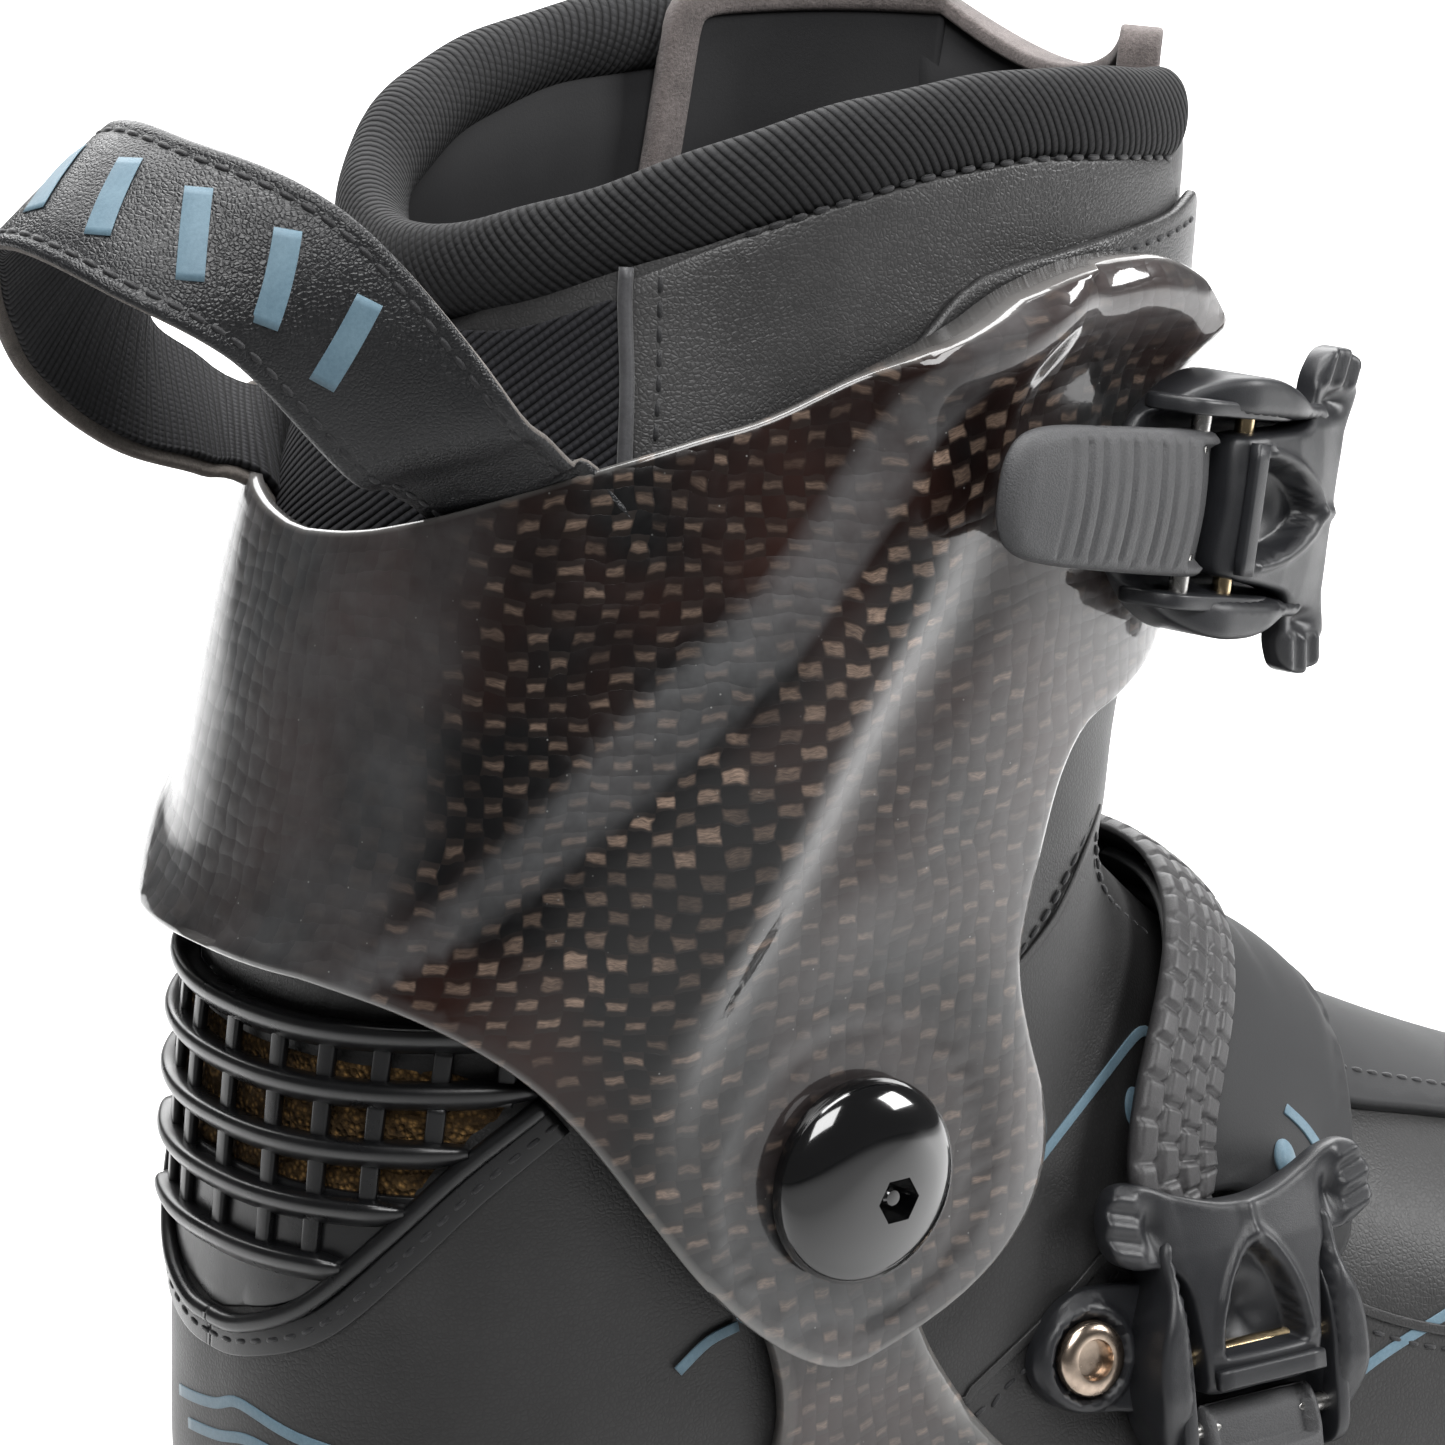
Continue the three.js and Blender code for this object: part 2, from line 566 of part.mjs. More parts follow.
// ---------------------------------------------------------------- ratchet buckles
// Local frame of a buckle: +X towards the strap that it draws in, +Z out of the boot, +Y across.
// Each side outline is (x, z) and each plan outline (x, y) in that frame.
const BUCKLE = {
  cheekY: 10.2,
  cheekThickness: 1.8,
  cheek: [[-5, 1], [18, 1], [17, 5], [12, 8.4], [-2, 8.4], [-5, 5]],
  baseThickness: 2,
  basePlan: [
    [-9, 0], [-6, 9], [2, 14], [12, 14], [20, 11], [22, 0], [20, -11], [12, -14], [2, -14], [-6, -9],
  ],
  pinRadius: 1.2,
  pinOverhang: 0.5,
  leverPin: { x: 0, z: 5.6 },
  latchPin: { x: 9, z: 5.4 },
  leverHalf: 8.3,
  leverSide: [
    [-35, 3.4], [-34, 6], [-29, 8.2], [-6, 9], [-1, 9], [3, 7.6], [3, 3.6], [0, 2.8], [-3, 3.6], [-8, 5.2],
    [-20, 5.2],
  ],
  leverPlan: [
    [-35, 0], [-34, 5.5], [-30, 7.9], [-18, 8.3], [3.4, 8.3], [3.4, -8.3], [-18, -8.3], [-30, -7.9],
    [-34, -5.5],
  ],
  latchSide: [
    [4.8, 3.4], [4.8, 5.6], [7, 9], [16, 8.6], [26, 6.6], [29, 4.4], [29, 2.6], [22, 3.4], [12, 3],
  ],
  latchPlan: [
    [4, -8.8], [18.6, -8.8], [20.5, -11], [24, -17.5], [30, -15], [28.5, -8], [28.5, 8], [30, 15], [24, 17.5],
    [20.5, 11], [18.6, 8.8], [4, 8.8],
  ],
  latchRecess: { floorZ: 6, plan: [[12.5, -5.5], [21, -4], [24, 0], [21, 4], [12.5, 5.5]] },
};
const TALL = 20; // higher than any part of a buckle

function pinBore({ x, z }) {
  return rod(BUCKLE.pinRadius + PIN_CLEARANCE, 60, x, 0, z, 'y', 10);
}

function buckleBase(wing) {
  const { cheekY, cheekThickness, cheek, baseThickness, basePlan, leverPin, latchPin } = BUCKLE;
  let base = planBlock(smooth(basePlan, 20), 0, baseThickness)
    .add(sideBlock(cheek, -cheekY - cheekThickness, -cheekY))
    .add(sideBlock(cheek, cheekY, cheekY + cheekThickness));
  if (wing) {
    base = base.add(planBlock(smooth(wing.plan, 12), 0, baseThickness))
      .subtract(rod(wing.holeRadius, 10, wing.x, wing.y, 1, 'z', 12));
  }
  return base.subtract(pinBore(leverPin)).subtract(pinBore(latchPin));
}

function buckleLever() {
  const { leverHalf, leverSide, leverPlan, leverPin } = BUCKLE;
  return sideBlock(leverSide, -leverHalf, leverHalf)
    .intersect(planBlock(smooth(leverPlan, 20), 0, TALL))
    .subtract(pinBore(leverPin));
}

function buckleLatch() {
  const { latchSide, latchPlan, latchRecess, latchPin } = BUCKLE;
  return sideBlock(latchSide)
    .intersect(planBlock(latchPlan, 0, TALL))
    .subtract(planBlock(smooth(latchRecess.plan, 10), latchRecess.floorZ, TALL))
    .subtract(pinBore(latchPin));
}

function addBuckle(prefix, frame, wing) {
  const { pinRadius, pinOverhang, leverPin, latchPin, cheekY, cheekThickness } = BUCKLE;
  const pinLength = 2 * (cheekY + cheekThickness + pinOverhang);
  addSolid(`${prefix}_base`, buckleBase(wing), NYLON, frame);
  addSolid(`${prefix}_lever`, buckleLever(), NYLON, frame);
  addSolid(`${prefix}_latch`, buckleLatch(), NYLON, frame);
  for (const [name, { x, z }] of [['lever_pin', leverPin], ['latch_pin', latchPin]]) {
    const pin = new THREE.CylinderGeometry(pinRadius, pinRadius, pinLength, 10);
    addGeometry(`${prefix}_${name}`, pin, STEEL, frame).position.set(x, 0, z);
  }
}

function buckleFrame(origin, forward, outward) {
  const across = outward.clone().cross(forward).normalize();
  const group = new THREE.Group();
  group.position.copy(origin);
  group.quaternion.setFromRotationMatrix(new THREE.Matrix4().makeBasis(forward, across, outward));
  boot.add(group);
  return group;
}

const CUFF_BUCKLE = { yaw: 15, dip: 12, distance: 51.8, along: 29, z: 162 };

function addCuffBuckle() {
  const yaw = degrees(CUFF_BUCKLE.yaw);
  const dip = degrees(CUFF_BUCKLE.dip);
  const outward = new THREE.Vector3(Math.sin(yaw), -Math.cos(yaw), 0);
  const level = new THREE.Vector3(Math.cos(yaw), Math.sin(yaw), 0);
  const forward = level.clone().multiplyScalar(Math.cos(dip)).add(new THREE.Vector3(0, 0, -Math.sin(dip)));
  const origin = outward.clone().multiplyScalar(CUFF_BUCKLE.distance);
  origin.addScaledVector(level, CUFF_BUCKLE.along);
  origin.z = CUFF_BUCKLE.z;
  addBuckle('cuff_buckle', buckleFrame(origin, forward, outward));
}

const INSTEP_BUCKLE = {
  x: 58,
  z: 46,
  distance: 42.8,
  forward: [0, 0.155, 0.985],
  outward: [-0.07, -0.985, 0.155],
  wing: { x: 11, y: 21, holeRadius: 3.2, plan: [[4, 8], [16, 8], [18, 20], [12, 27], [6, 24]] },
  screw: {
    profile: [[0, -0.9], [1.6, -0.9], [1.6, 0.6], [4.4, 0.6], [4.4, 2.4], [0, 2.4]],
    socketRadius: 1.6,
    topZ: 2.4,
    seatZ: 1.8,
  },
};

function addInstepBuckle() {
  const { x, z, distance, wing, screw } = INSTEP_BUCKLE;
  const forward = new THREE.Vector3(...INSTEP_BUCKLE.forward).normalize();
  const outward = new THREE.Vector3(...INSTEP_BUCKLE.outward);
  outward.addScaledVector(forward, -outward.dot(forward)).normalize();
  const y = (distance - x * outward.x - z * outward.z) / outward.y;
  const frame = buckleFrame(new THREE.Vector3(x, y, z), forward, outward);
  addBuckle('instep_buckle', frame, wing);
  const socket = rod(screw.socketRadius, 3, 0, screw.topZ, 0, 'y', 6);
  const head = toSolid(lathe(screw.profile, 12)).subtract(socket);
  const mesh = addSolid('instep_buckle_screw', head, BRONZE, frame);
  mesh.position.set(wing.x, wing.y, screw.seatZ);
  mesh.rotation.x = Math.PI / 2;
}

const CUFF_STRAP = {
  outer: 8, inner: 6, half: 8, x0: 6, x1: 90, z0: 167.8, z1: 151, lateralX: 56, medialX: 12,
};

function addCuffStrap() {
  const { outer, inner, half, x0, x1, z0, z1, lateralX, medialX } = CUFF_STRAP;
  const run = sideBlock([[x0, z0 - half], [x1, z1 - half], [x1, z1 + half], [x0, z0 + half]]);
  const strap = shell(outer, inner, 0, 6)
    .intersect(run)
    .subtract(block({ x: [-FAR, lateralX], y: [-FAR, 0] }))
    .subtract(block({ x: [-FAR, medialX], y: [0, FAR] }));
  addSolid('cuff_strap', strap, NYLON);
}

// ---------------------------------------------------------------- pull loop
// A leather band outside with a twill ribbon sewn to its inner face.
const LOOP_WIDTH = 20;
const LOOP_LAYER = 1.1;
const LOOP_LIFT = 1.3;
const LOOP_STEPS = 20;
const LOOP_ROUTE = [
  { at: [-39, -30.5, 169], across: [0.76, -0.6, 0.25] },
  { at: [-47, -27, 178], across: [0.8, -0.55, 0.25] },
  { at: [-60, -22, 194], across: [0.85, -0.3, 0.45] },
  { at: [-71, -12, 201], across: [0.82, -0.1, 0.55] },
  { at: [-74, 0, 203], across: [0.8, 0, 0.6] },
  { at: [-72, 9, 199], across: [0.82, 0.1, 0.55] },
  { at: [-65, 18, 187], across: [0.85, 0.3, 0.45] },
  { at: [-54, 25, 175], across: [0.8, 0.55, 0.25] },
  { at: [-42, 30, 166], across: [0.74, 0.6, 0.3] },
];

function addPullLoop() {
  const leather = band(LOOP_ROUTE, LOOP_WIDTH, LOOP_LAYER, LOOP_LIFT, LOOP_STEPS);
  const ribbon = band(LOOP_ROUTE, LOOP_WIDTH - 2, LOOP_LAYER, -LOOP_LIFT, LOOP_STEPS);
  addGeometry('pull_loop', leather, LEATHER);
  addGeometry('pull_loop_ribbon', ribbon, TWILL);
}

// ---------------------------------------------------------------- inside the boot
const FOOTBED_TOP = [
  [-80, 31], [-50, 31], [-18, 28.5], [22, 26.5], [62, 24.5], [136, 23.5], [193, 27], [230, 34],
];
const FOOTBED = { thickness: 3.8, toeX: 216 };
const BOARD_X = [-46, 200];
const COUNTER = { frontX: -8, z: [33, 66] };

function belowFootbed(drop) {
  const line = FOOTBED_TOP.map(([x, z]) => [x, z - drop]);
  return sideBlock([...line, [230, -5], [-80, -5]]);
}

function addFootbed() {
  const core = inside(LINER_OUTER, 4, LAST).intersect(block({ x: [-FAR, FOOTBED.toeX], z: [0, 60] }));
  const footbed = core.intersect(belowFootbed(0)).subtract(belowFootbed(FOOTBED.thickness - GAP));
  addSolid('footbed', footbed, TWILL);
  const board = core.intersect(belowFootbed(FOOTBED.thickness)).intersect(block({ x: BOARD_X }));
  addSolid('insole_board', board, BOARD);
  const heel = block({ x: [-FAR, COUNTER.frontX], z: COUNTER.z });
  addSolid('heel_counter', shell(LINER_OUTER, LINER_INNER, 4, 11).intersect(heel), BOARD);
}

const SOLE_PLAN = [
  [-66, 0], [-62, 20], [-45, 34], [-10, 38], [40, 39], [90, 46], [140, 52], [180, 52], [208, 44], [226, 28],
  [233, 9], [227, -12], [208, -30], [180, -42], [140, -48], [90, -45], [40, -40], [-10, -38], [-45, -34],
  [-62, -20],
];
const SOLE_SIDE = [
  [-70, 0], [150, 0], [185, 1.6], [210, 4], [240, 8], [240, 24], [190, SOLE_TOP], [-70, SOLE_TOP],
];
const GROOVE_X = [-52, 205];
const TOE_NOTCH = { half: 6, inset: 4, top: 11 }; // room for the binding's hook round the toe bar

function addSole() {
  const bootPocket = inside(CHASSIS_OUTER + GAP, 4);
  let sole = planBlock(smooth(SOLE_PLAN, 44), 0, 40)
    .intersect(sideBlock(SOLE_SIDE))
    .subtract(bootPocket);
  for (const y of [-GROOVE_Y, GROOVE_Y]) {
    const width = [y - GROOVE_WIDTH / 2, y + GROOVE_WIDTH / 2];
    sole = sole.subtract(block({ x: GROOVE_X, y: width, z: [-FAR, GROOVE_DEPTH] }));
  }
  const { x, z, radius, half } = TOE_BAR;
  const notchHalf = half - TOE_NOTCH.inset;
  const notch = block({
    x: [x - TOE_NOTCH.half, x + TOE_NOTCH.half],
    y: [-notchHalf, notchHalf],
    z: [-FAR, TOE_NOTCH.top],
  });
  const barBore = rod(radius + PIN_CLEARANCE, 2 * (half + PIN_CLEARANCE), x, 0, z, 'y', 10);
  addSolid('outsole', sole.subtract(notch).subtract(barBore), RUBBER);
  const bar = new THREE.CylinderGeometry(radius, radius, 2 * half, 12);
  addGeometry('toe_bar', bar, STEEL).position.set(x, 0, z);
}

addSole();
addFootbed();
addUpper();
addFlexPanels();
addTongue();
addCollar();
addLaces();
addLaceCover();
addInstepStrap();
addOverlays();
addChassis();
addCuff();
addPivot('lateral', -1);
addPivot('medial', 1);
addCuffBuckle();
addInstepBuckle();
addCuffStrap();
addPullLoop();

export default boot;
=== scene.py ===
import math

import bmesh
import bpy
import numpy as np
from mathutils import Matrix, Vector
from mathutils.geometry import delaunay_2d_cdt


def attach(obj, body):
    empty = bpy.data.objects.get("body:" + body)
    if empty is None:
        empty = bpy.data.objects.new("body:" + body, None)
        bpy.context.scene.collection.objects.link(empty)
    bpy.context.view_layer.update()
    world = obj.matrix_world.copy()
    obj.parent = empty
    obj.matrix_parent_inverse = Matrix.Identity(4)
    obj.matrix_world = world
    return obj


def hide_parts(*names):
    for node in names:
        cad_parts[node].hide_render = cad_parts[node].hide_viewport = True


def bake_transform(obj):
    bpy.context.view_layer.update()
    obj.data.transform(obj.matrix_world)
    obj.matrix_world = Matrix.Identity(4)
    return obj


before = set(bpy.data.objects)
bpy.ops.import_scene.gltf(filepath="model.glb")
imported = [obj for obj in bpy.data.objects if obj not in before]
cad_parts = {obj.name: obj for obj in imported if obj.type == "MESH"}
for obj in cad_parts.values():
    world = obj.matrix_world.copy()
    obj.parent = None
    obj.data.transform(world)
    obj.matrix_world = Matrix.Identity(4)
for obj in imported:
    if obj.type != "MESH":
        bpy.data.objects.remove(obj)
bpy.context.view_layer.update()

MM = 0.001
PI = math.pi
PIVOT_Z = 88.0

# ------------------------------------------------------------------ the boot's outer surface, in millimetres
# One row is one section, fanned from the collar rim to the toe: back or bottom (x, z), front or top (x, z),
# half width, centre y, and the superellipse exponents near the first and the second point.
SECTIONS = np.array([
    (-28.5, 206, 70, 220, 39, 0, 2.2, 2.4),
    (-34, 187, 68, 201, 39.5, 0, 2.2, 2.4),
    (-38.5, 172, 66.5, 186, 40.5, 0, 2.2, 2.4),
    (-45, 152, 64, 166, 41.5, 0, 2.2, 2.5),
    (-50, 132, 60, 143, 41.5, 0, 2.2, 2.5),
    (-55, 110, 57, 122, 40, 0, 2.3, 2.5),
    (-58, 86, 59, 112, 38, 0, 2.4, 2.4),
    (-60, 62, 65, 105, 36.5, 0, 2.4, 2.3),
    (-59, 40, 74, 98, 36, 0, 2.6, 2.2),
    (-50, 21, 84, 91, 36, 0, 3, 2.2),
    (-18, 17, 96, 83, 37, 0, 3.4, 2.1),
    (22, 15, 110, 76, 39.5, 0, 3.6, 2.1),
    (62, 13, 126, 69, 42.5, 0, 3.6, 2.1),
    (101, 12, 144, 62, 46, 1, 3.6, 2.1),
    (136, 12, 163, 56, 48, 2, 3.5, 2.1),
    (166, 13, 184, 51, 47, 4, 3.3, 2.2),
    (193, 15, 203, 45, 41, 6, 3, 2.3),
    (214, 18, 219, 38, 31, 8, 2.6, 2.4),
    (226, 21, 228, 32, 18, 9, 2.2, 2.2),
])
LAST = len(SECTIONS) - 1
RIM = [(-70, 184), (-38, 184), (-30, 190), (-22, 195), (-8, 201), (10, 205), (28, 206), (50, 203), (90, 199)]


def spline(a, b, c, d, f):
    return b + 0.5 * ((c - a) * f + (2 * a - 5 * b + 4 * c - d) * f**2 + (3 * b - a - 3 * c + d) * f**3)


def section(t):
    t = np.clip(t, 0, LAST - 1e-9)
    i = np.floor(t).astype(int)
    rows = [SECTIONS[np.clip(i + k, 0, LAST)] for k in (-1, 0, 1, 2)]
    return spline(*rows, (t - i)[..., None])


def on_surface(t, psi):
    """psi is 0 at the back or bottom, +-pi at the front or top, and negative on the outer (lateral) side."""
    s = section(np.asarray(t, float))
    c, w = np.cos(psi), np.sin(psi)
    power = s[..., 7] + (s[..., 6] - s[..., 7]) * (1 + c) / 2
    along = 0.5 - 0.5 * np.sign(c) * np.abs(c) ** (2 / power)
    y = s[..., 5] + s[..., 4] * np.sign(w) * np.abs(w) ** (2 / power)
    x = s[..., 0] + (s[..., 2] - s[..., 0]) * along
    z = s[..., 1] + (s[..., 3] - s[..., 1]) * along
    return np.stack([x, y, z], -1)


def unit(v):
    return v / (np.linalg.norm(v, axis=-1, keepdims=True) + 1e-12)


def normal_at(t, psi):
    step = 6e-3
    across = on_surface(t, psi + step) - on_surface(t, psi - step)
    down = on_surface(np.minimum(t + step, LAST), psi) - on_surface(np.maximum(t - step, 0), psi)
    return unit(np.cross(across, down))


def lifted(t, psi, offset):
    t, psi = np.asarray(t, float), np.asarray(psi, float)
    return on_surface(t, psi) + normal_at(t, psi) * np.asarray(offset, float)[..., None]


# ------------------------------------------------------------------ finding places on the surface
_TABLES = {}
LATERAL, OVER_TOP, AROUND = (-PI, 0), (-1.5 * PI, -0.5 * PI), (-PI, PI)


def locate(points, axes=(0, 2), span=LATERAL, offset=0.0):
    """Section number and angle of points known by the named coordinates, in a span of angles."""
    key = (span, offset)
    if key not in _TABLES:
        t, psi = np.meshgrid(np.linspace(0, LAST, 541), np.linspace(*span, 241), indexing="ij")
        _TABLES[key] = t.ravel(), psi.ravel(), lifted(t, psi, np.full(t.shape, offset)).reshape(-1, 3)
    t_all, psi_all, p_all = _TABLES[key]
    axes = list(axes)
    out = []
    for point in np.asarray(points, float):
        k = int(np.argmin(((p_all[:, axes] - point) ** 2).sum(1)))
        t, psi = t_all[k], psi_all[k]
        for _ in range(3):
            h = 2e-3
            probe_t, probe_psi = np.array([t, t + h, t]), np.array([psi, psi, psi + h])
            p, pt, pp = lifted(probe_t, probe_psi, np.full(3, offset))[:, axes]
            slope = np.stack([(pt - p) / h, (pp - p) / h], -1)
            step = np.linalg.lstsq(slope, point - p, rcond=0.05)[0]
            t = float(np.clip(t + np.clip(step[0], -0.03, 0.03), 0, LAST))
            psi = float(np.clip(psi + np.clip(step[1], -0.02, 0.02), *span))
        out.append((t, psi))
    return np.array(out)


def place(points, side=-1, offset=0.0):
    """Side-view points (x, z) on the outer (-1) or inner (1) side."""
    return on_side(locate(points, (0, 2), LATERAL, offset), side)


# ------------------------------------------------------------------ curves
def catmull(points, per_span=8, closed=False):
    p = np.asarray(points, float)
    n = len(p)
    pick = (lambda k: p[k % n]) if closed else (lambda k: p[min(max(k, 0), n - 1)])
    out = [spline(pick(i - 1), pick(i), pick(i + 1), pick(i + 2), f)
           for i in range(n if closed else n - 1) for f in np.arange(per_span) / per_span]
    return np.array(out if closed else out + [p[-1]])


def distance_along(path):
    return np.concatenate([[0], np.cumsum(np.linalg.norm(np.diff(path, axis=0), axis=1))])


def resample(points, spacing, closed=False):
    p = np.asarray(points, float)
    if closed:
        p = np.vstack([p, p[:1]])
    at = distance_along(p)
    want = np.linspace(0, at[-1], max(3, int(round(at[-1] / spacing))) + 1)
    out = np.stack([np.interp(want, at, p[:, k]) for k in range(p.shape[1])], -1)
    return out[:-1] if closed else out


def smoothstep(low, high, value):
    f = np.clip((value - low) / (high - low), 0, 1)
    return f * f * (3 - 2 * f)


def line_distance(px, pz, line):
    """Distance to a side-view polyline, positive to the right of its travel, and how far along it is."""
    best, sign, reach = np.full(px.shape, 1e9), np.ones(px.shape), np.zeros(px.shape)
    line = np.asarray(line, float)
    for i, (a, b) in enumerate(zip(line[:-1], line[1:])):
        d = b - a
        f = np.clip(((px - a[0]) * d[0] + (pz - a[1]) * d[1]) / (d @ d), 0, 1)
        qx, qz = px - (a[0] + f * d[0]), pz - (a[1] + f * d[1])
        near = np.hypot(qx, qz) < best
        best = np.where(near, np.hypot(qx, qz), best)
        sign = np.where(near, np.where(d[0] * qz - d[1] * qx < 0, 1.0, -1.0), sign)
        reach = np.where(near, (i + f) / (len(line) - 1), reach)
    return best * sign, reach


def edge_distance(points, loops):
    best = np.full(len(points), 1e9)
    for loop in loops:
        step = np.roll(loop, -1, axis=0) - loop
        for a, d in zip(loop, step):
            f = np.clip(((points - a) @ d) / (d @ d + 1e-12), 0, 1)
            best = np.minimum(best, np.linalg.norm(points - (a + f[:, None] * d), axis=1))
    return best


def inside_loop(points, loop):
    x, y = points[:, 0], points[:, 1]
    odd = np.zeros(len(points), bool)
    for (x0, y0), (x1, y1) in zip(loop, np.roll(loop, -1, axis=0)):
        if y0 != y1:
            odd ^= ((y0 > y) != (y1 > y)) & (x < (x1 - x0) * (y - y0) / (y1 - y0) + x0)
    return odd


# ------------------------------------------------------------------ meshes
def _girth():
    psi = np.linspace(-PI, PI, 721)
    p = on_surface(np.full(721, 3.5), psi)
    angle = np.arctan2(p[:, 1], -(p[:, 0] - 8))
    order = np.argsort(angle)
    length = distance_along(p[order, :2])
    theta = np.linspace(-PI, PI, 361)
    table = np.interp(theta, angle[order], length)
    return theta, table - np.interp(0, theta, table)


GIRTH = _girth()


def flat_coordinates(p):
    """Distance round the shaft from the back, height, and x: a weave drawn in these isn't stretched."""
    angle = np.arctan2(p[:, 1], -(p[:, 0] - 8))
    return np.stack([np.interp(angle, *GIRTH), p[:, 2], p[:, 0]], -1)


def new_object(name, verts, faces, flat=None, extra=None, indices=None):
    verts = np.asarray(verts, float)
    me = bpy.data.meshes.new(name)
    me.from_pydata([tuple(v) for v in verts * MM], [], [tuple(map(int, f)) for f in faces])
    me.polygons.foreach_set("use_smooth", [True] * len(me.polygons))
    if indices is not None:
        me.polygons.foreach_set("material_index", list(indices))
    flat = flat_coordinates(verts) if flat is None else flat
    me.attributes.new("flat", "FLOAT_VECTOR", "POINT").data.foreach_set("vector",
                                                                        np.asarray(flat, np.float32).ravel())
    for key, values in (extra or {}).items():
        me.attributes.new(key, "FLOAT", "POINT").data.foreach_set("value", np.asarray(values, np.float32))
    me.validate()
    ob = bpy.data.objects.new(name, me)
    bpy.context.scene.collection.objects.link(ob)
    return ob


def finish_piece(ob, material, body="root", replaces=(), sharp=None):
    """Gives a piece its material and its body; with body None it gets no body and its transform is baked into
    its mesh.
    """
    for m in material if isinstance(material, (list, tuple)) else [material]:
        ob.data.materials.append(m)
    if sharp:
        ob.data.set_sharp_from_angle(angle=math.radians(sharp))
    if body is None:
        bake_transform(ob)
    else:
        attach(ob, body)
    if replaces:
        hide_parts(*replaces)
    return ob


def relax(points, tri, weight, rounds):
    """Laplacian smoothing, held still where weight is 0."""
    a = np.concatenate([tri[:, 0], tri[:, 1], tri[:, 2]])
    b = np.concatenate([tri[:, 1], tri[:, 2], tri[:, 0]])
    count = np.zeros(len(points))
    np.add.at(count, a, 1)
    np.add.at(count, b, 1)
    for _ in range(rounds):
        total = np.zeros_like(points)
        np.add.at(total, a, points[b])
        np.add.at(total, b, points[a])
        points = points + (total / count[:, None] - points) * weight[:, None]
    return points


def slab(name, loops, top, bottom, mapper, spacing=2.0, edge=0.7, low_edge=0.0, rounds=0, shape=None,
         fields=None,
         flat=None):
    """Solid between two height functions over a flat outline (the first loop) with holes (the other loops).

    top and bottom are numbers or functions of (u, v, depth from the outline); mapper(u, v, height) gives
    positions. edge rounds the upper rim and low_edge the lower one."""
    loops = [resample(np.asarray(loop, float), spacing, closed=True) for loop in loops]
    boundary = np.vstack(loops)
    low, high = boundary.min(0), boundary.max(0)
    gx, gy = np.meshgrid(np.arange(low[0], high[0], spacing), np.arange(low[1], high[1], spacing),
                         indexing="ij")
    gy[1::2] += spacing / 2
    grid = np.stack([gx.ravel(), gy.ravel()], -1)
    ring_depth = max(edge, low_edge, 0.05)

    def within(points):
        keep = inside_loop(points, loops[0])
        for hole in loops[1:]:
            keep &= ~inside_loop(points, hole)
        return keep

    grid = grid[within(grid)]
    grid = grid[edge_distance(grid, loops) > ring_depth + spacing * 0.4]
    rings = []
    for index, loop in enumerate(loops):
        tangent = unit(np.roll(loop, -1, axis=0) - np.roll(loop, 1, axis=0))
        inward = np.stack([-tangent[:, 1], tangent[:, 0]], -1)
        if (inside_loop(loop + inward * 0.05, loops[0]) ^ (index > 0)).mean() < 0.5:
            inward = -inward
        rings += [loop + inward * depth * ring_depth for depth in (0.12, 0.45, 1.0)]
    rings = np.vstack(rings)
    rings = rings[within(rings)]
    rings = rings[edge_distance(rings, loops) > 0.1 * ring_depth]
    edges, start = [], 0
    for loop in loops:
        edges += [(start + k, start + (k + 1) % len(loop)) for k in range(len(loop))]
        start += len(loop)
    points = np.vstack([boundary, rings, grid])
    verts, _, faces, _, _, _ = delaunay_2d_cdt([Vector(p) for p in points], edges, [], 0, 1e-5)
    flat_points = np.array([tuple(v) for v in verts])
    tri = np.array([f for f in faces if len(f) == 3])
    tri = tri[within(flat_points[tri].mean(1))]
    used = np.unique(tri)
    remap = -np.ones(len(flat_points), int)
    remap[used] = np.arange(len(used))
    uv, tri = flat_points[used], remap[tri]
    e1, e2 = uv[tri[:, 1]] - uv[tri[:, 0]], uv[tri[:, 2]] - uv[tri[:, 0]]
    flip = e1[:, 0] * e2[:, 1] - e1[:, 1] * e2[:, 0] < 0
    tri[flip] = tri[flip][:, ::-1]
    u, v = uv[:, 0], uv[:, 1]
    depth = edge_distance(uv, loops)
    curve = 1 - np.sqrt(np.clip(1 - (1 - np.clip(depth / ring_depth, 0, 1)) ** 2, 0, 1))
    high = top(u, v, depth) if callable(top) else np.full(len(u), float(top))
    base = bottom(u, v, depth) if callable(bottom) else np.full(len(u), float(bottom))
    upper, lower = mapper(u, v, high - edge * curve), mapper(u, v, base + low_edge * curve)
    if rounds:
        weight = smoothstep(ring_depth, ring_depth + 2 * spacing, depth) * 0.6
        upper, lower = relax(upper, tri, weight, rounds), relax(lower, tri, weight, rounds)
    if shape:
        upper, lower = shape(upper, lower)
    sides = {(a, b) for a, b, c in tri} | {(b, c) for a, b, c in tri} | {(c, a) for a, b, c in tri}
    rim = [(a, b) for a, b in sides if (b, a) not in sides]
    up = np.cross(upper[tri[:, 1]] - upper[tri[:, 0]], upper[tri[:, 2]] - upper[tri[:, 0]])
    n = len(u)
    if (up * (upper - lower)[tri[:, 0]]).sum() < 0:
        tri = tri[:, ::-1]
        rim = [(b, a) for a, b in rim]
    faces = [*map(tuple, tri), *[(c + n, b + n, a + n) for a, b, c in tri],
             *[(a + n, b + n, b, a) for a, b in rim]]
    position = np.vstack([upper, lower])
    extra = {"rim": np.concatenate([depth, depth])}
    for key, function in (fields or {}).items():
        extra[key] = function(position)
    flat_attribute = np.vstack([np.column_stack([uv, uv[:, 0]])] * 2) if flat == "plan" else None
    return new_object(name, position, faces, flat=flat_attribute, extra=extra)


SKIN_SCALE = np.array([20.0, 42.0])  # section number and angle to roughly equal millimetres


def skin_map(u, v, height):
    return lifted(u / SKIN_SCALE[0], v / SKIN_SCALE[1], height)


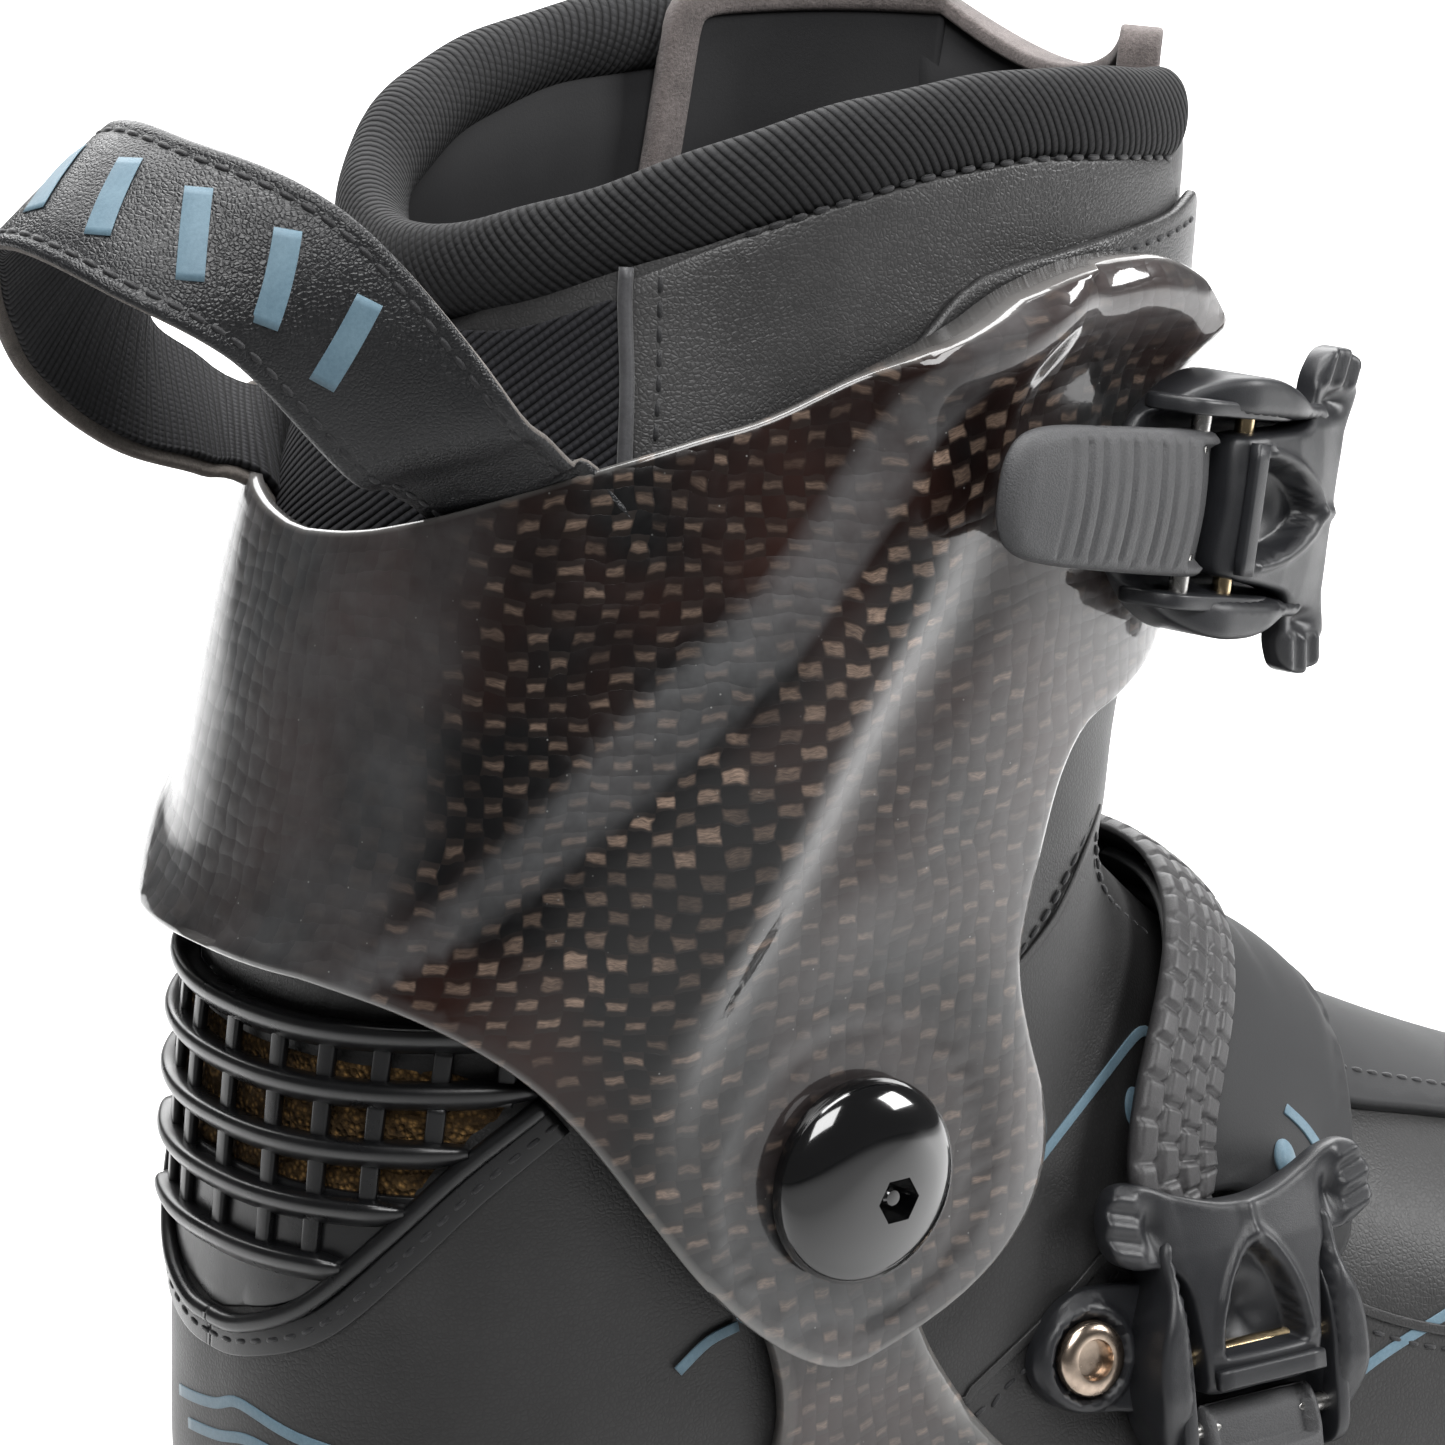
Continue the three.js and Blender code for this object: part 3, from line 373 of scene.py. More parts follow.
def panel(name, loops, outer, inner, **options):
    """Sheet on the boot's surface between two offsets, cut to loops of (section number, angle)."""
    return slab(name, [np.asarray(loop) * SKIN_SCALE for loop in loops], outer, inner, skin_map, **options)


def side_function(function):
    """Turns a function of side-view x and z into one of a panel's own coordinates."""
    def wrapped(u, v, depth):
        p = on_surface(u / SKIN_SCALE[0], v / SKIN_SCALE[1])
        return function(p[:, 0], p[:, 1], p[:, 2], depth)
    return wrapped


def mirrored(line, over_top=False):
    """Closed loop from an outer-side line and its twin on the inner side, round the back or over the top."""
    twin = line[::-1].copy()
    twin[:, 1] = (-2 * PI if over_top else 0) - twin[:, 1]
    return np.vstack([line, twin])


def back_loop(points, spacing, offset=0.0, gap=0.02):
    """Closed loop round the back, from side-view points that start and end on the middle line."""
    line = place(resample(points, spacing), -1, offset)
    line[0, 1] = line[-1, 1] = -gap
    return mirrored(line)


def on_side(line, side):
    """A line of (section number, angle) kept on the outer side (-1) or turned to the inner side (1)."""
    return line if side < 0 else line * np.array([1, -1])


def symmetric(half):
    """Whole outline from the half with v >= 0, whose first and last points are on the middle line."""
    return half + [(u, -v) for u, v in half[-2:0:-1]]


def sheet(name, t, psi, outer, inner, wrap=False, tip=None):
    """Closed sheet from rows and columns of (t, psi) between two offsets.

    tip closes the last row on a point."""
    rows, cols = t.shape
    faces = []
    upper = lifted(t, psi, np.broadcast_to(outer, t.shape)).reshape(-1, 3)
    lower = lifted(t, psi, np.broadcast_to(inner, t.shape)).reshape(-1, 3)
    n = rows * cols
    across = cols if wrap else cols - 1
    for i in range(rows - 1):
        for j in range(across):
            a, b = i * cols + j, i * cols + (j + 1) % cols
            c, d = b + cols, a + cols
            faces += [(a, b, c, d), (d + n, c + n, b + n, a + n)]
    for j in range(across):
        a, b = j, (j + 1) % cols
        faces.append((a + n, b + n, b, a))
        if tip is None:
            a, b = (rows - 1) * cols + j, (rows - 1) * cols + (j + 1) % cols
            faces.append((a, b, b + n, a + n))
    if not wrap:
        for i in range(rows - 1):
            a, d = i * cols, (i + 1) * cols
            faces.append((a, d, d + n, a + n))
            a, d = a + cols - 1, d + cols - 1
            faces.append((a + n, d + n, d, a))
    points = [upper, lower]
    if tip is not None:
        points += [np.array([tip[0]]), np.array([tip[1]])]
        for j in range(across):
            a, b = (rows - 1) * cols + j, (rows - 1) * cols + (j + 1) % cols
            faces += [(a, b, 2 * n), (b + n, a + n, 2 * n + 1)]
    ob = new_object(name, np.vstack(points), faces)
    clean(ob)
    return ob


def clean(ob, merge=0.01, flip=True):
    bm = bmesh.new()
    bm.from_mesh(ob.data)
    bmesh.ops.remove_doubles(bm, verts=bm.verts, dist=merge * MM)
    if flip:
        bmesh.ops.recalc_face_normals(bm, faces=bm.faces)
    bm.to_mesh(ob.data)
    bm.free()
    ob.data.polygons.foreach_set("use_smooth", [True] * len(ob.data.polygons))


def sweep(name, path, normals, profile, closed=False, scale=None, indices=None, flat=None):
    """Solid band or tube: a closed profile of (across, out) points carried along a path."""
    path, normals = np.asarray(path, float), np.asarray(normals, float)
    if closed:
        tangent = unit(np.roll(path, -1, axis=0) - np.roll(path, 1, axis=0))
    else:
        tangent = unit(np.gradient(path, axis=0))
    across = unit(np.cross(tangent, normals))
    out = np.cross(across, tangent)
    profile = np.asarray(profile, float)
    scale = np.ones(len(path)) if scale is None else np.asarray(scale, float)
    rings = (path[:, None] + across[:, None] * profile[None, :, :1] * scale[:, None, None]
             + out[:, None] * profile[None, :, 1:] * scale[:, None, None])
    n, m = len(path), len(profile)
    faces, materials = [], []
    for i in range(n if closed else n - 1):
        for j in range(m):
            a, b = i * m + j, i * m + (j + 1) % m
            c, d = (i + 1) % n * m + (j + 1) % m, (i + 1) % n * m + j
            faces.append((a, b, c, d))
            materials.append(indices[j] if indices else 0)
    if not closed:
        faces += [tuple(range(m))[::-1], tuple((n - 1) * m + k for k in range(m))]
        materials += [0, 0]
    length = distance_along(path)
    coordinates = np.stack(np.broadcast_arrays(length[:, None], profile[None, :, 0], profile[None, :, 1]), -1)
    coordinates = coordinates.reshape(-1, 3) if flat is None else flat
    ob = new_object(name, rings.reshape(-1, 3), faces, flat=coordinates, indices=materials)
    clean(ob, merge=0.001)
    return ob


def circle(radius, count=12, squash=1.0):
    a = np.linspace(0, 2 * PI, count, endpoint=False)
    return np.stack([radius * np.cos(a), radius * squash * np.sin(a)], -1)


def strip(width, thickness, corner=0.3, base=0.0):
    """Rounded flat profile that stands on base."""
    w, h = width / 2, thickness
    c = min(corner, h * 0.49, w * 0.49)
    quarter = np.linspace(0, PI / 2, 4)
    out = []
    for cx, cz, start in ((w - c, c, -PI / 2), (w - c, h - c, 0), (-w + c, h - c, PI / 2), (-w + c, c, PI)):
        out += [(cx + c * math.cos(start + q), cz + c * math.sin(start + q) + base) for q in quarter]
    return np.array(out)


def surface_line(points, offset, side=-1, spacing=1.2, bend=True, three=False, span=AROUND):
    """Path and outward normals along side-view points, or along (x, y, z) points, on the offset surface."""
    line = catmull(points, 6) if bend else np.asarray(points, float)
    line = resample(line, spacing)
    at = locate(line, (0, 1, 2), span) if three else place(line, side)
    return lifted(at[:, 0], at[:, 1], np.full(len(at), offset)), normal_at(at[:, 0], at[:, 1])


def join(name, objects):
    """One object from several, keeping their material slots in order."""
    bpy.ops.object.select_all(action="DESELECT")
    for ob in objects:
        ob.select_set(True)
    bpy.context.view_layer.objects.active = objects[0]
    bpy.ops.object.join()
    objects[0].name = objects[0].data.name = name
    return objects[0]


def stitches(name, rows, pitch=2.7, length=1.9, radius=0.36, sink=0.08):
    """Rows of thread stitches; each row is (path, normals)."""
    verts, faces = [], []
    around, along = 7, (-1.0, -0.8, -0.35, 0.35, 0.8, 1.0)
    girth = (0.25, 0.8, 1.0, 1.0, 0.8, 0.25)
    for path, normals in rows:
        step = distance_along(path)
        for at in np.arange(pitch / 2, step[-1], pitch):
            centre = np.array([np.interp(at, step, path[:, k]) for k in range(3)])
            before, after = (np.array([np.interp(at + d, step, path[:, k]) for k in range(3)])
                             for d in (-0.5, 0.5))
            out = unit(np.array([np.interp(at, step, normals[:, k]) for k in range(3)]))
            tangent = unit(after - before)
            side = np.cross(tangent, out)
            start = len(verts)
            for f, g in zip(along, girth):
                for a in np.linspace(0, 2 * PI, around, endpoint=False):
                    lift = radius * g * math.sin(a) * 0.8 - sink - 0.22 * radius * f * f
                    verts.append(centre + tangent * f * length / 2 + side * radius * g * math.cos(a) + out
                                 * lift)
            for i in range(len(along) - 1):
                for j in range(around):
                    a, b = start + i * around + j, start + i * around + (j + 1) % around
                    faces.append((a, a + around, b + around, b))
            faces.append(tuple(start + k for k in range(around)))
            faces.append(tuple(start + (len(along) - 1) * around + k for k in range(around))[::-1])
    ob = new_object(name, np.array(verts), faces)
    clean(ob, merge=0.0001)
    return ob


def lathe(name, profile, origin, axis, count=64):
    """Round solid from (radius, height) points round an axis."""
    axis = unit(np.asarray(axis, float))
    x = unit(np.cross(axis, [0.0, 0.0, 1.0] if abs(axis[2]) < 0.9 else [1.0, 0.0, 0.0]))
    y = np.cross(axis, x)
    a = np.linspace(0, 2 * PI, count, endpoint=False)
    ring = np.cos(a)[:, None] * x + np.sin(a)[:, None] * y
    verts = np.vstack([origin + ring * max(r, 1e-4) + axis * h for r, h in profile])
    faces = []
    rows = len(profile)
    for i in range(rows - 1):
        for j in range(count):
            faces.append((i * count + j, i * count + (j + 1) % count, (i + 1) * count + (j + 1) % count,
                          (i + 1) * count + j))
    if profile[0] != profile[-1]:
        faces += [tuple(range(count))[::-1], tuple((rows - 1) * count + k for k in range(count))]
    ob = new_object(name, verts, faces)
    clean(ob, merge=0.005)
    return ob


def cut(ob, cutter, operation="DIFFERENCE"):
    """Applies a boolean and removes the cutter."""
    modifier = ob.modifiers.new("cut", "BOOLEAN")
    modifier.operation, modifier.object, modifier.solver = operation, cutter, "EXACT"
    depsgraph = bpy.context.evaluated_depsgraph_get()
    mesh = bpy.data.meshes.new_from_object(ob.evaluated_get(depsgraph))
    ob.modifiers.clear()
    ob.data = mesh
    bpy.data.objects.remove(cutter)


def local_map(origin, forward, outward):
    """Mapper from a buckle's own (x, y, z) to the boot's frame."""
    forward = unit(np.asarray(forward, float))
    outward = np.asarray(outward, float)
    outward = unit(outward - forward * (outward @ forward))
    across = np.cross(outward, forward)
    origin = np.asarray(origin, float)

    def mapper(u, v, height):
        u, v, height = np.broadcast_arrays(np.asarray(u, float), np.asarray(v, float),
                                           np.asarray(height, float))
        return origin + u[..., None] * forward + v[..., None] * across + height[..., None] * outward

    mapper.forward, mapper.across, mapper.outward = forward, across, outward
    return mapper


# ------------------------------------------------------------------ materials
class Nodes:
    """A material whose nodes are added and linked by short calls."""

    SOCKETS = {"colour": "Base Color", "rough": "Roughness", "metal": "Metallic", "normal": "Normal",
               "coat": "Coat Weight", "coat_rough": "Coat Roughness", "sheen": "Sheen Weight",
               "specular": "Specular IOR Level", "sheen_rough": "Sheen Roughness",
               "coat_normal": "Coat Normal"}

    def __init__(self, name):
        self.material = bpy.data.materials.new(name)
        self.material.use_nodes = True
        self.tree = self.material.node_tree
        self.shader = self.tree.nodes["Principled BSDF"]
        coordinates = self.add("ShaderNodeTexCoord").outputs["Object"]
        self.place = self.vector("SCALE", coordinates, scale=1000.0)  # millimetres

    def add(self, kind, inputs=None, **settings):
        node = self.tree.nodes.new(kind)
        for key, value in settings.items():
            setattr(node, key, value)
        for key, value in (inputs or {}).items():
            self.set(node.inputs[key], value)
        return node

    def set(self, socket, value):
        if isinstance(value, bpy.types.NodeSocket):
            self.tree.links.new(value, socket)
        elif socket.type == "RGBA":
            socket.default_value = (*value[:3], 1)
        else:
            socket.default_value = value

    def math(self, operation, a, b=0.0):
        return self.add("ShaderNodeMath", {0: a, 1: b}, operation=operation).outputs[0]

    def sum(self, *values):
        total = values[0]
        for value in values[1:]:
            total = self.math("ADD", total, value)
        return total

    def times(self, *values):
        total = values[0]
        for value in values[1:]:
            total = self.math("MULTIPLY", total, value)
        return total

    def vector(self, operation, a, b=(0, 0, 0), scale=1.0):
        return self.add("ShaderNodeVectorMath", {0: a, 1: b, 3: scale}, operation=operation).outputs[0]

    def split(self, vector):
        return self.add("ShaderNodeSeparateXYZ", {0: vector}).outputs

    def noise(self, scale, detail=3.0, rough=0.5, vector=None, kind="Fac"):
        inputs = {"Scale": scale, "Detail": detail, "Roughness": rough, "Vector": vector or self.place}
        return self.add("ShaderNodeTexNoise", inputs).outputs[kind]

    def cells(self, scale, feature="F1", vector=None):
        node = self.add("ShaderNodeTexVoronoi", {"Vector": vector or self.place, "Scale": scale},
                        feature=feature)
        return node.outputs["Distance"]

    def attribute(self, name, output="Vector"):
        return self.add("ShaderNodeAttribute", attribute_name=name).outputs[output]

    def mix(self, factor, a, b):
        node = self.add("ShaderNodeMix", data_type="RGBA")
        sockets = {s.name: s for s in node.inputs if s.type == "RGBA"}
        self.set(node.inputs[0], factor)
        self.set(sockets["A"], a)
        self.set(sockets["B"], b)
        return next(s for s in node.outputs if s.type == "RGBA")

    def between(self, value, low, high, to_low=0.0, to_high=1.0):
        return self.add("ShaderNodeMapRange", {0: value, 1: low, 2: high, 3: to_low, 4: to_high}).outputs[0]

    def ridge(self, value, pitch):
        """1 on the middle of each rib of the given pitch, falling to 0 between ribs."""
        f = self.math("SUBTRACT", self.math("FRACT", self.math("DIVIDE", value, pitch)), 0.5)
        return self.math("SUBTRACT", 1.0, self.times(f, f, 4.0))

    def bump(self, height, distance, strength=1.0):
        inputs = {"Height": height, "Distance": distance * MM, "Strength": strength}
        return self.add("ShaderNodeBump", inputs).outputs["Normal"]

    def done(self, **sockets):
        for key, value in sockets.items():
            self.set(self.shader.inputs[self.SOCKETS[key]], value)
        return self.material


def scaled(colour, factor):
    return tuple(min(1.0, c * factor) for c in colour)


def carbon_material(name, tow=2.3, glint_strength=1.0):
    n = Nodes(name)
    drift = n.vector("SCALE", n.vector("SUBTRACT", n.noise(0.03, 2.0, 0.5, kind="Color"), (0.5, 0.5, 0.5)),
                     scale=9.0)
    jitter = n.vector("SCALE", n.vector("SUBTRACT", n.noise(0.3, 2.0, 0.6, kind="Color"), (0.5, 0.5, 0.5)),
                      scale=1.6)
    moved = n.vector("ADD", n.vector("ADD", n.attribute("flat"), drift), jitter)
    x, y, _ = n.split(moved)
    u, v = n.math("DIVIDE", x, tow), n.math("DIVIDE", y, tow)
    cell_u, cell_v = n.math("FLOOR", u), n.math("FLOOR", v)
    in_u = n.math("SUBTRACT", n.math("FRACT", u), 0.5)
    in_v = n.math("SUBTRACT", n.math("FRACT", v), 0.5)
    weft = n.math("GREATER_THAN", n.math("MODULO", n.sum(cell_u, cell_v, 1000.0), 2.0), 0.5)
    warp = n.math("SUBTRACT", 1.0, weft)
    dome_u = n.math("SUBTRACT", 0.25, n.times(in_u, in_u))
    dome_v = n.math("SUBTRACT", 0.25, n.times(in_v, in_v))
    across = n.sum(n.times(weft, dome_v), n.times(warp, dome_u))
    along = n.sum(n.times(weft, dome_u), n.times(warp, dome_v))
    height = n.sum(n.times(across, 2.4), n.times(along, 1.6))
    cell = n.add("ShaderNodeCombineXYZ", {0: cell_u, 1: cell_v}).outputs[0]
    chance = n.add("ShaderNodeTexWhiteNoise", {"Vector": cell}).outputs["Value"]
    grain = n.noise(1.0, 2.0, 0.6, n.vector("MULTIPLY", moved, (0.5, 6.0, 1.0)))
    patch = n.noise(0.05, 3.0, 0.6)
    # painted highlight: the bright middle of each weft tow, where it crosses over the warp, is a painted
    # glint standing in for a reflection;
    # where the glint attribute is above 1 the painted glint spreads over the cell
    painted_glint = n.attribute("painted_glint", "Fac")
    spread = n.between(painted_glint, 1.0, 1.6)
    edge_v = n.math("SUBTRACT", n.math("ABSOLUTE", n.math("SUBTRACT", in_v, n.times(spread, -0.08))),
                    n.times(spread, 0.18))
    glint_mark = n.times(n.between(n.math("ABSOLUTE", in_u), 0.49, 0.36), n.between(edge_v, 0.25, 0.10))
    glint_mark = n.times(glint_mark, weft, n.between(chance, 0.0, 1.0, 0.25, 1.0), n.between(grain, 0.3, 0.7, 0.3, 1.0))
    glint_mark = n.times(glint_mark, n.math("MINIMUM", painted_glint, 1.0), n.between(patch, 0.36, 0.6, 0.35, 1.0))
    dark = n.mix(n.between(n.noise(0.035, 2.0, 0.5), 0.42, 0.64), (0.0022, 0.0021, 0.0023),
                 (0.016, 0.0058, 0.0040))
    dark = n.mix(n.times(weft, n.between(chance, 0.0, 1.0, 0.1, 0.6)), dark, (0.016, 0.0115, 0.0095))
    # painted highlight: the glints are painted in copper tan over the dark weave
    colour = n.mix(n.times(glint_mark, glint_strength), dark, (0.29, 0.205, 0.155))
    # grey veil over the carbon, from a point attribute: partly a milky haze on the finish, partly a painted
    # sheen standing in for reflected light
    haze_and_sheen = n.attribute("haze_and_sheen", "Fac")
    cloud = n.noise(0.11, 4.0, 0.65)
    haze_and_sheen_veil = n.times(haze_and_sheen, n.between(cloud, 0.32, 0.68, 0.45, 1.0))
    colour = n.mix(n.times(haze_and_sheen_veil, 0.55), colour, (0.110, 0.111, 0.114))
    colour = n.mix(n.between(n.attribute("rim", "Fac"), 0.2, 0.9, 0.35, 0.0), colour, (0.24, 0.235, 0.225))
    dust = n.between(n.cells(0.42), 0.06, 0.03, 0.0, 0.45)
    colour = n.mix(n.times(dust, n.between(patch, 0.4, 0.55)), colour, (0.30, 0.30, 0.29))
    rough = n.sum(n.between(n.noise(0.3, 3.0, 0.6), 0.4, 0.75, 0.28, 0.42), n.times(haze_and_sheen_veil, 0.15))
    ripple = n.sum(n.noise(0.07, 2.0, 0.4), n.times(n.noise(1.9, 2.0, 0.5), 0.02), n.times(height, 0.006))
    return n.done(colour=colour, rough=rough, normal=n.bump(height, 0.2, 0.5), coat=1.0, coat_rough=0.05,
                  coat_normal=n.bump(ripple, 0.9, 0.22), specular=0.16)


def leather_material(name, colour, grain=1.1, depth=0.10, rough=(0.40, 0.58)):
    n = Nodes(name)
    pits = n.between(n.cells(grain, "DISTANCE_TO_EDGE"), 0.0, 0.28)
    fine, broad = n.noise(grain * 2.6, 3.0, 0.6), n.noise(0.05, 3.0, 0.55)
    creases = n.between(n.noise(0.35, 5.0, 0.7, n.vector("MULTIPLY", n.place, (0.35, 0.35, 1.0))), 0.44, 0.5)
    tone = n.mix(n.between(broad, 0.35, 0.7), colour, scaled(colour, 1.6))
    tone = n.mix(n.between(pits, 0.6, 0.0, 0.0, 0.4), tone, scaled(colour, 0.45))
    gloss = n.between(n.sum(broad, n.times(fine, 0.3)), 0.4, 0.9, *rough)
    height = n.sum(pits, n.times(fine, 0.5), n.times(creases, 0.4))
    return n.done(colour=tone, rough=gloss, normal=n.bump(height, depth, 0.5), specular=0.42)


def microfibre_material(name, colour, depth=0.05):
    n = Nodes(name)
    fine, grit, broad = n.noise(3.2, 4.0, 0.65), n.noise(9.0, 2.0, 0.5), n.noise(0.04, 3.0, 0.5)
    tone = n.mix(n.between(broad, 0.35, 0.65), colour, scaled(colour, 1.45))
    tone = n.mix(n.between(fine, 0.35, 0.65, 0.0, 0.3), tone, scaled(colour, 1.8))
    return n.done(colour=tone, rough=n.between(broad, 0.35, 0.7, 0.5, 0.64),
                  normal=n.bump(n.sum(fine, n.times(grit, 0.5)), depth, 0.4), sheen=0.02, specular=0.3)


def twill_material(name, pitch, angle, colour):
    n = Nodes(name)
    x, y, _ = n.split(n.attribute("flat"))
    c, s = math.cos(math.radians(angle)), math.sin(math.radians(angle))
    along = n.sum(n.times(x, c), n.times(y, s))
    across = n.sum(n.times(y, c), n.times(x, -s), n.times(n.noise(0.08, 2.0), 0.8))
    rib = n.ridge(across, pitch)
    height = n.sum(rib, n.times(n.ridge(along, pitch * 0.9), rib, 0.35),
                   n.times(n.noise(5.0, 3.0, 0.6), 0.25))
    # the colour follows the rib height: the grooves between ribs are darker as painted shade and the crowns
    # lighter as painted light
    tone = n.mix(n.between(height, 0.3, 1.2), scaled(colour, 0.25), scaled(colour, 2.0))
    return n.done(colour=tone, rough=0.8, normal=n.bump(height, 0.25, 0.9), sheen=0.02, sheen_rough=0.4,
                  specular=0.18)


def plastic_material(name, colour, rough=(0.34, 0.5), texture=5.0, depth=0.03, coat=0.0, wear=3.0):
    n = Nodes(name)
    fine, broad, scuff = n.noise(texture, 3.0, 0.6), n.noise(0.12, 3.0, 0.55), n.noise(0.9, 6.0, 0.75)
    tone = n.mix(n.between(fine, 0.4, 0.65, 0.0, 0.5), colour, scaled(colour, 1.7))
    tone = n.mix(n.between(scuff, 0.6, 0.8, 0.0, 0.35), tone, scaled(colour, wear))
    return n.done(colour=tone, rough=n.between(broad, 0.35, 0.7, *rough), normal=n.bump(fine, depth, 0.5),
                  coat=coat, coat_rough=0.03, specular=0.5)


def metal_material(name, colour, rough=(0.2, 0.34)):
    n = Nodes(name)
    wear = n.noise(0.4, 4.0, 0.6)
    tone = n.mix(n.between(wear, 0.35, 0.7), colour, scaled(colour, 0.6))
    return n.done(colour=tone, rough=n.between(wear, 0.3, 0.7, *rough), metal=1.0,
                  normal=n.bump(n.noise(2.0, 4.0, 0.6), 0.01, 0.4))


def foam_material(name):
    n = Nodes(name)
    pores, lumps = n.cells(1.3), n.noise(0.5, 4.0, 0.7)
    tone = n.mix(n.between(lumps, 0.3, 0.7), (0.045, 0.022, 0.007), (0.36, 0.21, 0.075))
    tone = n.mix(n.between(pores, 0.15, 0.5, 0.0, 0.8), tone, (0.020, 0.013, 0.007))
    return n.done(colour=tone, rough=0.95, normal=n.bump(n.sum(pores, lumps), 0.9, 0.8), specular=0.2)


def fibre_material(name, low, high, rough=0.95, depth=0.5, scale=2.2):
    n = Nodes(name)
    fuzz, broad = n.noise(scale, 5.0, 0.75), n.noise(0.25, 3.0, 0.6)
    tone = n.mix(n.between(n.sum(n.times(fuzz, 0.6), n.times(broad, 0.4)), 0.35, 0.65), low, high)
    return n.done(colour=tone, rough=rough, normal=n.bump(fuzz, depth, 0.8), sheen=0.15, specular=0.3)


CARBON = carbon_material("carbon_cuff")
LEATHER = leather_material("leather_black", (0.0255, 0.0250, 0.0252), grain=1.7, depth=0.07,
                           rough=(0.33, 0.48))
LOOP_LEATHER = leather_material("leather_loop", (0.0085, 0.0088, 0.0098), grain=1.9, depth=0.09,
                                rough=(0.28, 0.42))
SKIN = leather_material("microfibre_black", (0.0145, 0.0142, 0.0143), grain=1.6, depth=0.045,
                        rough=(0.42, 0.56))
PAD_SKIN = microfibre_material("microfibre_pad", (0.0120, 0.0122, 0.0130), depth=0.07)
LINING = microfibre_material("lining_dark", (0.0120, 0.0120, 0.0128))
TWILL = twill_material("twill_rear", 1.05, -33.0, (0.0072, 0.0072, 0.0084))
KNIT = twill_material("knit_roll", 1.0, 62.0, (0.0085, 0.0085, 0.0090))
RIBBON = twill_material("ribbon", 0.9, 90.0, (0.0080, 0.0080, 0.0088))
LACE = twill_material("lace", 0.8, 45.0, (0.010, 0.010, 0.011))
TPU = plastic_material("tpu_black", (0.0042, 0.0043, 0.0048), rough=(0.26, 0.40), texture=2.5)
NYLON = plastic_material("nylon_dark", (0.0115, 0.0120, 0.0138), rough=(0.34, 0.48), texture=6.0, depth=0.05)
GRIP = plastic_material("nylon_grip", (0.0360, 0.0362, 0.0380), rough=(0.46, 0.6), texture=4.2, depth=0.22)
LADDER = plastic_material("nylon_ladder", (0.0300, 0.0290, 0.0300), rough=(0.42, 0.55), texture=4.0,
                          depth=0.08)
RUBBER = plastic_material("rubber_sole", (0.0100, 0.0100, 0.0104), rough=(0.6, 0.78), texture=2.0, depth=0.1)
CAP_BLACK = plastic_material("cap_black", (0.0020, 0.0020, 0.0023), rough=(0.10, 0.16), texture=3.0,
                             depth=0.004,
                             coat=1.0, wear=1.5)
STEEL = metal_material("steel", (0.62, 0.61, 0.59))
BRASS = metal_material("brass_pin", (0.72, 0.56, 0.34), rough=(0.15, 0.28))
BRONZE = metal_material("bronze_screw", (0.56, 0.45, 0.36), rough=(0.16, 0.3))
FOAM = foam_material("foam_tan")
PRINT = fibre_material("print_blue", (0.075, 0.130, 0.170), (0.115, 0.185, 0.230), rough=0.5, depth=0.03)
FELT = fibre_material("felt_edge", (0.085, 0.073, 0.070), (0.200, 0.172, 0.165))
RAW_EDGE = fibre_material("leather_edge", (0.050, 0.043, 0.038), (0.135, 0.118, 0.105), depth=0.3)
THREAD = fibre_material("thread_black", (0.0045, 0.0045, 0.005), (0.018, 0.018, 0.020), rough=0.5, depth=0.1)
PIPING = fibre_material("piping_grey", (0.030, 0.030, 0.032), (0.062, 0.062, 0.066), rough=0.45, depth=0.05)
BOARD = fibre_material("fibre_board", (0.05, 0.05, 0.048), (0.10, 0.10, 0.095), scale=1.2)


# ------------------------------------------------------------------ soft upper, collar and tongue
RIM_CURVE = catmull(RIM, 6)


def rim_height(x):
    return np.interp(x, RIM_CURVE[:, 0], RIM_CURVE[:, 1])


def solve_t(psi, height, offset=0.0, low=0.0, high=5.0):
    """Section number at which the surface passes height(x, y) at each angle."""
    low, high = np.full(np.shape(psi), float(low)), np.full(np.shape(psi), float(high))
    for _ in range(26):
        mid = (low + high) / 2
        p = lifted(mid, psi, np.full(np.shape(psi), offset))
        above = p[..., 2] > height(p[..., 0], p[..., 1])
        low, high = np.where(above, mid, low), np.where(above, high, mid)
    return (low + high) / 2


def front_angle(t, y):
    """Angle beyond pi/2 at which section t has the given y."""
    angles = np.linspace(PI / 2, 1.5 * PI, 361)
    out = np.zeros(np.broadcast(t, y).shape)
    for index in np.ndindex(out.shape):
        p = on_surface(np.full(361, t[index]), angles)
        out[index] = np.interp(-y[index], -p[:, 1], angles)
    return out


VENT_EDGE = [(-60, 0.4, 71.2), (-60, -6, 71.8), (-57, -15, 76), (-51, -23, 85), (-44, -28.5, 93.6),
             (-36, -33.4, 101)]


def vent_depth(p):
    """How far a point lies inside the heel vent, in the rear view, as a 0 to 1 mask."""
    edge = np.interp(np.abs(p[..., 1]), [0, 6, 15, 23, 28.5, 34], [71.2, 71.7, 76, 85, 93.6, 103])
    return smoothstep(0.5, 3.0, p[..., 2] - edge) * smoothstep(-25, -31, p[..., 0]) * smoothstep(113, 109,
                                                                                                 p[..., 2])


